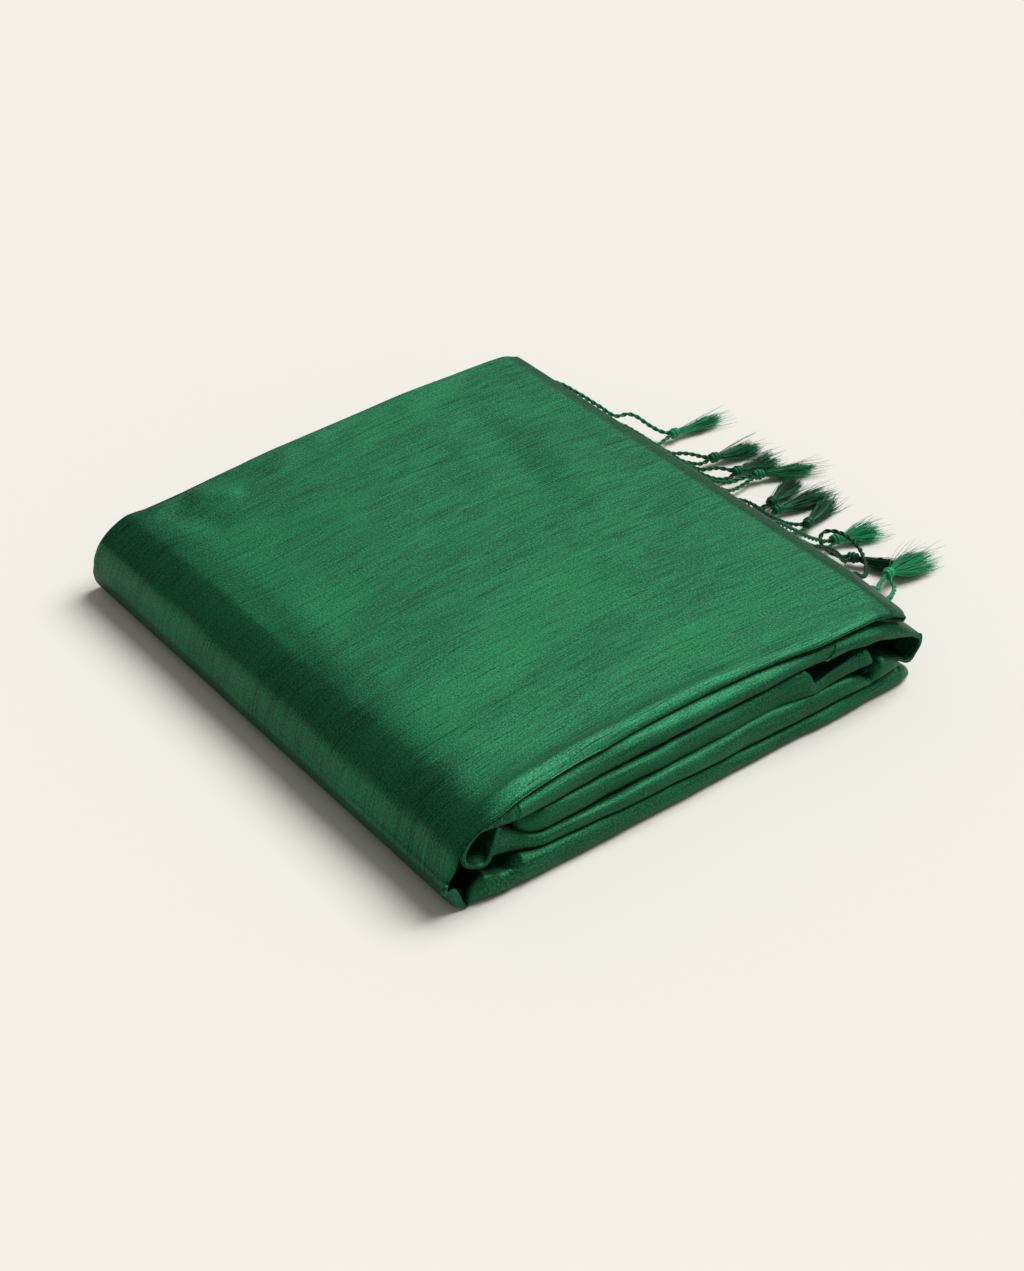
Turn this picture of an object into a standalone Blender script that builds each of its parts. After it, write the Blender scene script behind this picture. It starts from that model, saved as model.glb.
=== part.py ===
"""A saree folded into a flat pile, with the tassels of its end border lying beside it.

Lengths are in millimetres until a mesh is made, which is in metres. The origin is the middle of the
underside. X runs along the cloth, from the big turn on the left (-X) to the tassels (+X). The layered
side with the rolls faces -Y. Z is up.
"""

import math

import bmesh
import bpy
import numpy as np
from mathutils import Vector

MM = 0.001

# Driving dimensions
WALL = 1.4  # the outer cloth, which stands for its plies
ROLL_WALL = 1.2  # the folds that show at the front
GAP = 0.45  # between pieces
ROLL_DEPTH = 5.0  # how far a roll's nose curves back
LEG_END = -122.0  # y where the legs of each roll end, inside the pile
SLOT_END = LEG_END + 0.9  # y where the core's slots for those legs end
LEAN_HEIGHT = 40.0  # the height at which the front face meets the top sheet's edge
HEAD = 3.0  # radius of a tassel's knot
CORD = 1.0  # half the width of a tassel's cord
STRANDS = 20  # in each tassel
BORDER_X = 117.7  # where the cords are tied to the border

# Along the front: x, y at the floor, y of the top sheet's edge, the height of each groove, and how far
# the lowest roll bulges out in front of the others
FRONT = np.array(
    (
        # x, foot, edge, lip, first, second, third, bulge
        (-122, -146.6, -144, 40.0, 31.4, 20.6, 13.0, 0.2),
        (-112, -147.2, -144, 40.0, 31.4, 20.6, 14.4, 1.0),
        (-105, -147.4, -144, 40.1, 31.3, 20.6, 15.2, 1.9),
        (-96, -147.6, -143, 40.2, 30.6, 20.6, 15.0, 2.3),
        (-86, -147.6, -142, 40.3, 30.4, 20.4, 13.8, 2.4),
        (-72, -147.6, -141, 40.5, 29.9, 20.2, 12.4, 2.4),
        (-50, -147.6, -138, 40.4, 29.4, 19.7, 11.4, 2.3),
        (-28, -147.6, -137, 40.5, 29.6, 19.7, 10.9, 1.7),
        (-6, -147.6, -136, 40.2, 29.6, 19.8, 10.6, 1.2),
        (16, -147.6, -136, 39.8, 29.5, 20.1, 10.3, 0.9),
        (40, -147.6, -135, 39.7, 29.4, 20.6, 10.4, 0.3),
        (58, -147.6, -137, 39.6, 31.0, 20.1, 10.4, -0.4),
        (66, -147.4, -138, 39.7, 30.8, 19.4, 10.7, -0.4),
        (74, -147.2, -138, 39.9, 30.5, 20.0, 11.1, -0.2),
        (86, -146.8, -140, 40.0, 30.0, 20.5, 11.4, -0.2),
        (98, -146.2, -141, 40.0, 28.6, 19.6, 11.5, -0.2),
        (110, -145.6, -142, 39.6, 26.6, 19.4, 11.6, -0.4),
        (122, -145.0, -142, 38.0, 23.0, 14.0, 12.8, -0.6),
    )
)
FOOT, EDGE, LIP, BULGE = 1, 2, 3, 7

# The outer cloth from its right edge over the top, round the left turn and back under the pile.
# Its section near the front, its section at the back, the rim that its front edge turns in to, and the
# y of its front and back edges.
WRAP = np.array(
    (
        # front x, z, back x, z, rim x, z, front edge, back edge
        (117.2, 38.2, 120.6, 39.2, 119.2, 37.6, -139.4, 136.0),
        (118.0, 40.2, 121.2, 40.8, 119.8, 38.8, -140.2, 136.6),
        (117.2, 42.2, 120.2, 42.4, 118.8, 39.9, -141.2, 136.8),
        (114.4, 43.2, 117.4, 43.2, 115.4, 40.8, -142.2, 137.0),
        (106.0, 43.6, 110.0, 43.8, 106.0, 41.2, -141.8, 137.5),
        (92.0, 43.5, 98.0, 43.8, 92.0, 41.0, -140.2, 138.0),
        (70.0, 43.5, 76.0, 44.0, 70.0, 40.6, -138.0, 138.0),
        (44.0, 43.6, 50.0, 44.0, 44.0, 40.5, -135.2, 138.0),
        (16.0, 43.7, 20.0, 43.2, 16.0, 40.6, -136.0, 137.2),
        (-12.0, 43.9, -10.0, 42.8, -12.0, 41.1, -136.4, 136.0),
        (-40.0, 43.8, -36.0, 42.4, -40.0, 41.1, -137.6, 135.0),
        (-64.0, 43.7, -58.0, 41.2, -64.0, 41.1, -139.8, 134.0),
        (-84.0, 43.5, -78.0, 40.4, -84.0, 41.0, -141.8, 132.2),
        (-97.0, 43.3, -92.0, 40.2, -97.0, 41.1, -143.2, 131.8),
        (-105.0, 42.6, -102.0, 40.0, -104.5, 40.6, -144.0, 132.4),
        (-111.5, 41.5, -108.6, 39.3, -110.5, 39.7, -144.2, 133.4),
        (-116.8, 39.5, -113.2, 37.6, -115.4, 37.8, -144.3, 134.5),
        (-121.6, 36.5, -117.2, 34.8, -120.0, 34.9, -144.3, 135.0),
        (-125.4, 32.9, -120.3, 31.2, -123.8, 31.5, -144.3, 136.0),
        (-127.8, 28.8, -122.4, 27.4, -126.2, 27.8, -144.3, 137.0),
        (-129.0, 24.4, -123.7, 23.2, -127.6, 23.8, -144.3, 138.0),
        (-129.9, 20.0, -124.6, 18.8, -129.0, 19.6, -144.4, 139.0),
        (-130.8, 15.8, -125.2, 14.6, -130.6, 16.2, -144.5, 139.0),
        (-131.0, 11.5, -125.5, 10.4, -127.4, 13.4, -145.0, 140.0),
        (-130.4, 6.8, -124.9, 6.2, -125.4, 8.4, -145.4, 140.0),
        (-128.6, 3.0, -123.0, 2.8, -124.0, 4.6, -145.8, 140.0),
        (-125.0, 0.8, -119.6, 0.8, -122.6, 1.7, -146.2, 140.0),
        (-119.0, 0.0, -114.5, 0.0, -119.0, 0.0, -144.6, 140.0),
        (-113.0, 0.0, -111.0, 0.0, -113.0, 0.0, -139.0, 140.0),
        (-104.0, 0.0, -104.0, 0.0, -104.0, 0.0, -132.5, 140.0),
        (-20.0, 0.0, -20.0, 0.0, -20.0, 0.0, -132.5, 140.0),
        (60.0, 0.0, 60.0, 0.0, 60.0, 0.0, -132.5, 140.0),
        (118.0, 0.0, 118.0, 0.0, 118.0, 0.0, -132.5, 138.0),
    )
)

# The turn at the right end, from its lower end up round the point and back to the seam
END_TURN = np.array(
    (
        (119.0, 13.6, 120.0, 10.6, 118.6, 14.9, -143.2, 131),
        (122.6, 15.7, 125.5, 12.4, 121.7, 16.8, -143.4, 131),
        (126.2, 19.4, 129.4, 16.8, 125.2, 20.2, -143.6, 132),
        (127.8, 23.6, 130.0, 22.0, 126.4, 23.3, -143.6, 132),
        (124.0, 28.2, 127.4, 27.2, 122.0, 23.8, -143.6, 132),
        (117.6, 33.0, 121.6, 31.6, 115.5, 25.2, -143.6, 132),
        (110.8, 36.6, 113.6, 35.0, 109.4, 27.0, -143.6, 132),
        (104.0, 38.6, 105.0, 37.0, 103.5, 28.6, -143.2, 132),
        (95.0, 39.4, 95.0, 38.2, 95.0, 30.0, -142.6, 132),
        (87.2, 39.7, 87.2, 38.5, 87.2, 30.8, -142.0, 132),
    )
)

# The small loop inside the left turn, where the upper fold doubles back
LOOP = np.array(
    (
        (-96.9, 39.9, -96.9, 38.6, -96.9, 31.4, -144.6, -117.4),
        (-104.0, 39.5, -104.0, 38.4, -104.0, 30.4, -145.0, -117.4),
        (-110.0, 38.3, -110.0, 37.4, -110.5, 31.4, -145.2, -117.4),
        (-115.5, 35.8, -115.0, 35.2, -114.8, 31.6, -145.2, -117.4),
        (-119.8, 32.2, -118.8, 31.6, -117.3, 29.9, -144.8, -117.4),
        (-122.8, 27.8, -121.4, 27.4, -118.8, 27.0, -144.4, -117.4),
        (-124.0, 23.3, -122.4, 23.2, -120.4, 23.6, -144.0, -117.4),
        (-122.6, 19.0, -121.0, 19.6, -120.8, 20.2, -143.6, -117.4),
        (-119.0, 16.2, -118.0, 17.0, -118.1, 17.6, -143.4, -117.4),
        (-114.5, 15.4, -114.0, 16.2, -114.3, 16.8, -143.4, -117.4),
        (-110.0, 16.1, -110.0, 17.0, -110.4, 17.4, -143.4, -117.4),
        (-106.5, 18.8, -107.0, 19.4, -107.4, 19.7, -143.4, -117.4),
        (-104.2, 22.8, -105.0, 23.2, -105.2, 23.4, -143.4, -117.4),
        (-102.8, 26.8, -103.8, 27.0, -103.9, 27.4, -143.6, -117.4),
    )
)

# The end border, under the top sheet: x and height of its upper face
PALLU = ((117.0, 37.0), (113.0, 38.6), (109.0, 39.6), (104.0, 40.4), (98.0, 41.0), (90.0, 41.3))

# Each tassel: knot x, y, z, then the tuft's end x, y, then the y of its two cords at the border
TASSELS = (
    (173.5, 76.1, 4.6, 203.0, 75.6, 116.0, 68.0),
    (174.5, 45.8, 4.6, 200.0, 42.6, 64.0, 56.5),
    (175.1, 30.0, 4.6, 199.0, 28.6, 51.5, 44.5),
    (181.3, 21.2, 4.6, 208.6, 11.4, 37.0, 14.0),
    (171.5, 0.5, 4.8, 195.0, 6.2, 6.0, -4.0),
    (166.0, -8.5, 4.6, 196.0, -8.0, -10.5, -18.0),
    (171.0, -25.5, 4.8, 194.0, -21.5, -25.0, -42.0),
    (171.6, -44.5, 4.8, 196.5, -46.0, -50.0, -70.0),
    (168.0, -60.5, 4.3, 183.0, -77.0, -77.0, -98.0),
    (166.8, -86.5, 9.6, 194.4, -86.2, -106.0, -128.0),
)

# How the front edge of a sheet turns in to its rim
TURN_IN = np.array(
    (
        # distance behind the edge where the turn is deep, where it is thin, share of the way to the rim
        (2.6, -1.8, 0.97),
        (0.7, -1.0, 0.80),
        (0.0, -0.3, 0.54),
        (0.5, 0.6, 0.30),
        (2.0, 2.0, 0.12),
        (5.0, 5.0, 0.02),
        (10.0, 10.0, 0.0),
    )
)


# The hidden core: x of each of its sections, and how far it is drawn in across and in height
CORE = (
    (-119.0, 0.90, 0.34),
    (-115.0, 0.92, 0.62),
    (-108.0, 0.935, 0.82),
    (-101.0, 0.94, 0.94),
    (-95.5, 0.945, 0.98),
    (-92.0, 1.0, 1.0),
    (-86.0, 1.0, 1.0),
    (-72.0, 1.0, 1.0),
    (-50.0, 1.0, 1.0),
    (-28.0, 1.0, 1.0),
    (-6.0, 1.0, 1.0),
    (16.0, 1.0, 1.0),
    (40.0, 1.0, 1.0),
    (58.0, 1.0, 1.0),
    (63.0, 1.0, 1.0),
    (66.0, 1.0, 1.0),
    (74.0, 1.0, 1.0),
    (80.0, 1.0, 1.0),
    (83.5, 1.0, 1.0),
    (86.0, 1.0, 1.0),
    (98.0, 1.0, 1.0),
    (103.0, 0.965, 0.96),
    (109.0, 0.94, 0.84),
    (113.0, 0.90, 0.66),
)


def colour_of(name):
    deep = {"inner_layers": (0.008, 0.075, 0.035), "end_turn": (0.010, 0.095, 0.045)}
    if name.startswith("tassel"):
        return (0.012, 0.170, 0.080)
    return deep.get(name, (0.016, 0.180, 0.085))


def material(name):
    made = bpy.data.materials.new(name + "_silk")
    made.use_nodes = True
    shader = made.node_tree.nodes["Principled BSDF"]
    shader.inputs["Base Color"].default_value = (*colour_of(name), 1.0)
    shader.inputs["Roughness"].default_value = 0.5
    shader.inputs["Metallic"].default_value = 0.0
    return made


def keep(mesh, name, collection):
    made = bpy.data.objects.new(name, mesh)
    mesh.materials.append(material(name))
    collection.objects.link(made)
    return made


def sheet(name, grid, wall, collection):
    """An open surface from a grid of points, thickened inwards by the wall."""
    rows, columns = grid.shape[:2]
    index = np.arange(rows * columns).reshape(rows, columns)
    faces = np.stack((index[:-1, :-1], index[:-1, 1:], index[1:, 1:], index[1:, :-1]), -1)
    mesh = bpy.data.meshes.new(name)
    mesh.from_pydata((grid.reshape(-1, 3) * MM).tolist(), [], faces.reshape(-1, 4).tolist())
    made = keep(mesh, name, collection)
    thick = made.modifiers.new("Wall", "SOLIDIFY")
    thick.thickness = wall * MM
    thick.offset = -1.0
    thick.use_even_offset = False
    return made


def front(x, column):
    return np.interp(x, FRONT[:, 0], FRONT[:, column])


def face_y(x, z):
    """y of the layered side: it leans from its foot at the floor to the top sheet's edge."""
    return front(x, FOOT) + (front(x, EDGE) - front(x, FOOT)) * z / LEAN_HEIGHT


def crumple(x, y):
    """Height of the soft ups and downs of the top sheet, which fade out at its edges."""
    inside = np.clip((138.0 - np.abs(y)) / 40.0, 0.0, 1.0) * np.clip((112.0 - np.abs(x)) / 40.0, 0.0, 1.0)
    wave = np.sin(0.045 * x + 0.02 * y + 0.6) + 0.7 * np.sin(0.06 * y - 0.018 * x)
    return 0.35 * inside * wave


def turned_sheet(table, stations, back_turn):
    """Lofts a table's front section to its back section, with its front edge turned in to the rim.

    The rows of the grid follow the table and the columns follow y. back_turn is how far the back edge
    turns in.
    """
    front_xz, back_xz, rim_xz = table[:, 0:2], table[:, 2:4], table[:, 4:6]
    y_front, y_back = table[:, 6], table[:, 7]
    deep = np.clip((np.linalg.norm(rim_xz - front_xz, axis=1) - 3.6) / 3.0, 0.0, 1.0)
    along = np.gradient(back_xz, axis=0)
    along /= np.linalg.norm(along, axis=1)[:, None]
    inward = np.stack((-along[:, 1], along[:, 0]), 1)
    span = (y_back - y_front).max()
    columns = []
    for behind, thin, share in TURN_IN:
        back_off = behind * deep + thin * (1.0 - deep)
        t = max(behind, 0.0) / span
        xz = front_xz + (back_xz - front_xz) * t
        columns.append((xz + (rim_xz - front_xz) * share, y_front + back_off))
    for y in stations:
        t = (y - y_front) / (y_back - y_front)
        columns.append((front_xz + (back_xz - front_xz) * t[:, None], np.full(len(table), float(y))))
    if back_turn is not None:
        for behind, share in ((9.0, 0.0), (4.0, 0.1), (1.2, 0.4), (0.0, 0.95)):
            columns.append((back_xz + inward * (back_turn * share)[:, None], y_back - behind))
    else:
        columns.append((back_xz, y_back))
    grid = np.stack([np.stack((xz[:, 0], y, xz[:, 1]), 1) for xz, y in columns], 1)
    return grid


def outer_wrap(collection):
    turn = np.where(WRAP[:, 3] > 36.0, 3.0, 1.5)
    turn[WRAP[:, 3] < 3.0] = 0.0
    turn[:3] = 0.8
    grid = turned_sheet(WRAP, (-112, -84, -56, -28, 0, 28, 56, 84, 108), turn)
    top = grid[..., 2] > 41.0
    grid[..., 2] += np.where(top, crumple(grid[..., 0], grid[..., 1]), 0.0)
    sheet("outer_wrap", grid, WALL, collection)


def nose(x, top, bottom, inset, count, bulge=0.0):
    """Points of a roll's rounded front at one x, from the top leg to the bottom leg."""
    half = (top - bottom) / 2.0 - inset
    middle = (top + bottom) / 2.0
    turn = np.radians(np.linspace(84.0, -84.0, count))
    reach = np.abs(np.cos(turn)) ** 0.8
    y = face_y(x, middle) - 1.2 - bulge + inset + ROLL_DEPTH * (1.0 - reach)
    z = middle + half * np.sign(turn) * np.abs(np.sin(turn)) ** 0.85
    return y, z


def roll(name, xs, top, bottom, collection):
    """A fold that shows at the front: a C-shaped strip with its legs inside the pile."""
    rows = []
    for x, z_top, z_bottom in zip(xs, top, bottom):
        y, z = nose(x, z_top, z_bottom, 0.0, 9)
        y = np.concatenate(((LEG_END,), y, (LEG_END,)))
        z = np.concatenate(((z_top,), z, (z_bottom,)))
        rows.append(np.stack((np.full(len(y), x), y, z), 1))
    sheet(name, np.stack(rows), ROLL_WALL, collection)


def level(x, number):
    """Top and bottom of the space that roll 1, 2, 3 or 4 has, counted from the top."""
    top = front(x, LIP + number - 1) - GAP / 2.0
    if number == 2:
        top = top - np.interp(x, (58.0, 63.0, 66.0, 90.0), (0.0, 0.6, 1.8, 0.2))
    bottom = front(x, LIP + number) + GAP / 2.0 if number < 4 else np.full_like(x, WALL + GAP)
    return top, bottom


def stations(start, end, more=()):
    """The places of the front table between two ends, the ends themselves, and some more."""
    inside = [x for x in FRONT[:, 0] if start + 3.0 < x < end - 3.0]
    return np.array(sorted({start, end, *inside, *more}))


def rolls(collection):
    xs = stations(-96.4, 86.6)
    top, bottom = level(xs, 1)
    roll("upper_fold", xs, top, bottom, collection)

    xs = stations(-98.4, 98.0, (63.0, 90.0))
    top, bottom = level(xs, 2)
    roll("hemmed_end", xs, top, bottom, collection)

    xs = stations(-101.4, 116.6, (94.0, 99.0, 103.0, 107.0, 112.0))
    top, bottom = level(xs, 3)
    flare_x = (86.0, 94.0, 99.0, 103.0, 107.0, 112.0, 116.6)
    top = np.where(xs < 86.0, top, np.interp(xs, flare_x, (20.2, 18.0, 16.6, 19.0, 20.6, 19.0, 16.0)))
    roll("return_fold", xs, top, bottom, collection)

    bottom_roll(collection)


def bottom_roll(collection):
    """The lowest roll: its nose rests on the floor in front of the outer cloth's edge under the pile."""
    xs = stations(-119.6, 122.0, (-118.4, -116.0, -110.0, -103.0, 114.0, 118.4))
    top, bottom = level(xs, 4)
    top -= np.interp(xs, (-119.6, -118.4, -116.0, -110.0, 114.0, 118.4, 122.0), (8.6, 3.2, 1.2, 0.0, 0.0, 0.8, 3.0))
    bottom += np.interp(xs, (-119.6, -118.4, -116.0, -112.0), (1.4, 0.9, 0.5, 0.0))
    low = np.where(xs < -109.0, bottom, 0.4)
    rows = []
    for x, z_top, z_bottom, z_low in zip(xs, top, bottom, low):
        y, z = nose(x, z_top, z_low, 0.0, 9, front(x, BULGE))
        y = np.concatenate(((LEG_END,), y, (-141.0, -137.0, LEG_END)))
        z = np.concatenate(((z_top,), z, (z_low, z_bottom, z_bottom)))
        rows.append(np.stack((np.full(len(y), x), y, z), 1))
    sheet("bottom_fold", np.stack(rows), ROLL_WALL, collection)


def core(collection):
    """The hidden layers as one rounded solid: tongues fill the rolls, and ridges show at the back."""
    inset = ROLL_WALL + GAP + 0.4
    rows = []
    for x, share_y, share_z in CORE:
        recess = np.interp(x, (-92.0, -86.0, 80.0, 86.0), (1.0, 0.0, 0.0, 1.0))
        wrap_top = np.interp(x, WRAP[3:16, 0][::-1], np.minimum(WRAP[3:16, 1], WRAP[3:16, 3])[::-1])
        lid = wrap_top - WALL - GAP - 0.9
        lid = min(lid, np.interp(x, (83.5, 86.0, 95.0, 105.0, 112.0), (50.0, 36.4, 36.2, 34.8, 32.6)))
        y, z = [126.0, 0.0, SLOT_END + 1.0], [WALL + GAP, WALL + GAP, WALL + GAP]
        for number in (4, 3, 2, 1):
            top, bottom = (float(v) for v in level(np.array(x), number))
            if number == 3 and x >= 86.0:
                top = min(top, 16.6)
            if number == 1:
                top = min(top, lid + 1.0)
                bottom = min(bottom, top - 5.0)
            nose_y, nose_z = nose(x, top, bottom, inset, 5)
            nose_y = np.minimum(nose_y * (1.0 - recess) + (LEG_END - 2.0) * recess, LEG_END - 1.0)
            y += [SLOT_END, *nose_y[::-1], SLOT_END]
            z += [bottom + inset, *nose_z[::-1], top - inset]
        y += [SLOT_END, -100.0, -50.0, 0.0, 50.0, 100.0, 128.0]
        z += [lid - 0.6, lid, lid, lid, lid, lid - 0.3, lid - 1.2]
        back = np.interp(x, (-110.0, -50.0, 80.0, 113.0), (132.5, 137.0, 137.0, 134.0))
        pitch = (lid - 6.5) / 5.0
        for ridge in np.linspace(lid - 1.8 - pitch / 2.0, 4.7 - WALL + pitch / 2.0, 5):
            y += [back - 1.6, back, back - 1.3, back - 6.0]
            z += [ridge + 0.36 * pitch, ridge, ridge - 0.36 * pitch, ridge - 0.5 * pitch]
        ring = np.stack((np.full(len(y), x), np.array(y) * share_y, 20.0 + (np.array(z) - 20.0) * share_z), 1)
        rows.append(ring)
    grid = np.stack(rows)
    count = grid.shape[1]
    mesh = bpy.data.meshes.new("inner_layers")
    index = np.arange(grid.shape[0] * count).reshape(-1, count)
    wrapped = np.roll(index, -1, axis=1)
    faces = np.stack((index[:-1], wrapped[:-1], wrapped[1:], index[1:]), -1).reshape(-1, 4).tolist()
    faces += [index[0][::-1].tolist(), index[-1].tolist()]
    mesh.from_pydata((grid.reshape(-1, 3) * MM).tolist(), [], faces)
    bm = bmesh.new()
    bm.from_mesh(mesh)
    bmesh.ops.recalc_face_normals(bm, faces=bm.faces)
    bm.to_mesh(mesh)
    bm.free()
    keep(mesh, "inner_layers", collection)


def pallu_end(collection):
    ys = np.array((-118.0, -84.0, -50.0, -16.0, 18.0, 52.0, 86.0, 118.0, 128.0))
    rows = [np.stack((np.full(len(ys), x), ys, np.full(len(ys), z)), 1) for x, z in PALLU]
    sheet("pallu_end", np.stack(rows), ROLL_WALL, collection)


def grow(bm, face, centres, widths):
    """Draws one face of a knot out into a strand through the centres, with a width at each."""
    start = face.calc_center_median()
    corners = [(v.co - start).normalized() for v in face.verts]
    normal = face.normal.copy()
    last = start
    for number, (centre, width) in enumerate(zip(centres, widths)):
        follow = centres[number + 1] - last if number + 1 < len(centres) else centre - last
        turn = normal.rotation_difference(follow)
        face = bmesh.ops.extrude_discrete_faces(bm, faces=[face])["faces"][0]
        for vertex, corner in zip(face.verts, corners):
            vertex.co = centre + (turn @ corner) * width
        last = centre


def tassel(name, row, collection):
    """A knot with a tuft of strands and two cords drawn out of its faces."""
    kx, ky, kz, tip_x, tip_y, *roots = row
    knot = Vector((kx, ky, kz))
    reach = Vector((tip_x - kx, tip_y - ky, 0.0))
    length = reach.length
    axis = reach.normalized()
    side = Vector((-axis.y, axis.x, 0.0))
    bm = bmesh.new()
    bmesh.ops.create_icosphere(bm, subdivisions=2, radius=HEAD)
    bm.normal_update()
    cords = []
    for number, root in enumerate(roots):
        away = Vector((BORDER_X - kx, root - ky, 26.0)).normalized()
        away += side * (0.35 if number == 0 else -0.35)
        away.normalize()
        cords.append(max(bm.faces, key=lambda f: f.normal.dot(away) if f not in cords else -2.0))
    tuft = sorted((f for f in bm.faces if f not in cords), key=lambda f: -f.normal.dot(axis))[:STRANDS]
    bmesh.ops.inset_individual(bm, faces=cords, thickness=0.12, use_even_offset=True)
    bmesh.ops.inset_individual(bm, faces=tuft, thickness=0.22, use_even_offset=True)
    for vertex in bm.verts:
        vertex.co += knot
    bm.normal_update()
    for number, face in enumerate(tuft):
        centre = face.calc_center_median() - knot
        out = centre.dot(side)
        up = centre.z
        stretch = length * (0.93 + 0.09 * math.sin(2.1 * number + kx))
        middle = knot + axis * (HEAD + 0.36 * length) + side * (out * 1.8) + Vector((0, 0, up))
        end = knot + axis * stretch + side * (out * 3.0) + Vector((0, 0, up * 0.9 + 2.0 - 0.5 * kz))
        grow(bm, face, (middle, end), (0.80, 0.55))
    drop = ((0.80, 5.4), (0.62, 12.0), (0.43, 21.4), (0.24, 31.2), (0.10, 35.4), (0.0, 36.4))
    for face, root in zip(cords, roots):
        border = Vector((BORDER_X, root, 0.0))
        line = [knot.lerp(border, 1.0 - share) for share, _ in drop]
        for point, (_, z) in zip(line, drop):
            point.z = max(z, kz)
        grow(bm, face, line, (CORD, CORD, CORD, CORD, CORD, CORD * 0.9))
    mesh = bpy.data.meshes.new(name)
    bmesh.ops.scale(bm, vec=(MM, MM, MM), verts=bm.verts)
    bmesh.ops.recalc_face_normals(bm, faces=bm.faces)
    bm.to_mesh(mesh)
    bm.free()
    keep(mesh, name, collection)


for existing in list(bpy.data.objects):
    bpy.data.objects.remove(existing, do_unlink=True)
saree = bpy.data.collections.new("folded_saree")
bpy.context.scene.collection.children.link(saree)
outer_wrap(saree)
rolls(saree)
sheet("end_turn", turned_sheet(END_TURN, (-116, -84, -50, -16, 18, 52, 86, 116), None), WALL, saree)
sheet("left_loop", turned_sheet(LOOP, (-126,), None), ROLL_WALL, saree)
pallu_end(saree)
core(saree)
for place, tassel_row in enumerate(TASSELS):
    tassel("tassel_%02d" % (place + 1), tassel_row, saree)
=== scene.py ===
"""A green silk saree, folded flat into a soft pile, with the tassels of its end border beside it.

Tables are in millimetres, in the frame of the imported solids: the origin is the middle of the underside,
X runs along the cloth towards the tassels, the layered side faces -Y and Z is up.
"""

import math

import bpy
import numpy as np
from mathutils import Matrix, Vector


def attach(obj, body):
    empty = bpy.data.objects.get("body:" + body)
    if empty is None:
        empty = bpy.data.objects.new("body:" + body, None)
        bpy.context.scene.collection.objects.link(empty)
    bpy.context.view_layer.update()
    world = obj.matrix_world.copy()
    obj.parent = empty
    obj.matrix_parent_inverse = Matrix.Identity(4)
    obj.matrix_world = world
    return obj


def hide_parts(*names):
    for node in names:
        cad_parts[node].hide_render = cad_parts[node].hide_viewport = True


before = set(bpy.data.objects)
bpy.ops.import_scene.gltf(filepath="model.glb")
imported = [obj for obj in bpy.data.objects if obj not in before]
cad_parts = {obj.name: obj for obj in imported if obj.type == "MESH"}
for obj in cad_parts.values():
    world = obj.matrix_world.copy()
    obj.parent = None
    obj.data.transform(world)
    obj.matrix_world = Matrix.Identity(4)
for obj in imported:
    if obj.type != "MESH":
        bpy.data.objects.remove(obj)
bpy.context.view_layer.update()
scene = bpy.context.scene
scene.view_settings.view_transform = "Standard"


# The photograph's view: a long lens about 1.2 m away, looking down at the front left corner of the pile.
VIEW_AZIMUTH, VIEW_ELEVATION = math.radians(-37.6), math.radians(35.4)
VIEW_TARGET, VIEW_DISTANCE = Vector((0.006, -0.008, 0.0)), 1.23
FOCAL_PIXELS, FRAME_HEIGHT = 2714.0, 1271.0

level_reach = math.cos(VIEW_ELEVATION)
towards_camera = Vector(
    (math.sin(VIEW_AZIMUTH) * level_reach, -math.cos(VIEW_AZIMUTH) * level_reach, math.sin(VIEW_ELEVATION))
)
camera_right = Vector((0.0, 0.0, 1.0)).cross(towards_camera).normalized()
lens = bpy.data.cameras.new("camera")
lens.sensor_width = 36.0
lens.lens = FOCAL_PIXELS * lens.sensor_width / FRAME_HEIGHT
camera = bpy.data.objects.new("camera", lens)
camera.matrix_world = (
    Matrix.Translation(VIEW_TARGET + towards_camera * VIEW_DISTANCE)
    @ Matrix((camera_right, towards_camera.cross(camera_right), towards_camera)).transposed().to_4x4()
)
scene.collection.objects.link(camera)
scene.camera = camera


# The pale floor, and the soft daylight of a studio: one broad light high on the right, which leaves the
# left side of the pile in shade, and an even warm light from all round.
FLOOR_SIZE = 12.0
FLOOR_COLOUR = (0.875, 0.85, 0.79, 1.0)
KEY_FROM, KEY_STRENGTH, KEY_WIDTH = (0.56, -0.05, 0.83), 3.0, 38.0
AIR_COLOUR, AIR_STRENGTH = (1.0, 0.965, 0.905, 1.0), 0.245


def set_inputs(node, **values):
    """Gives a node's inputs their values. An underscore stands for a space in an input's name."""
    for name, value in values.items():
        node.inputs[name.replace("_", " ")].default_value = value


def new_material(name, **values):
    """A material whose shader has the given values, its node tree and the shader."""
    made = bpy.data.materials.new(name)
    made.use_nodes = True
    shader = made.node_tree.nodes["Principled BSDF"]
    set_inputs(shader, **values)
    return made, made.node_tree, shader


bpy.ops.mesh.primitive_plane_add(size=FLOOR_SIZE)
floor = bpy.context.object
floor.name = "floor"
floor_paint, *_ = new_material("pale_floor", Base_Color=FLOOR_COLOUR, Roughness=0.9, Specular_IOR_Level=0.15)
floor.data.materials.append(floor_paint)

daylight = bpy.data.lights.new("key", "SUN")
daylight.energy = KEY_STRENGTH
daylight.angle = math.radians(KEY_WIDTH)
key = bpy.data.objects.new("key", daylight)
key.rotation_euler = Vector(KEY_FROM).to_track_quat("Z", "Y").to_euler()
scene.collection.objects.link(key)

world = bpy.data.worlds.new("studio_air")
world.use_nodes = True
set_inputs(world.node_tree.nodes["Background"], Color=AIR_COLOUR, Strength=AIR_STRENGTH)
scene.world = world


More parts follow.
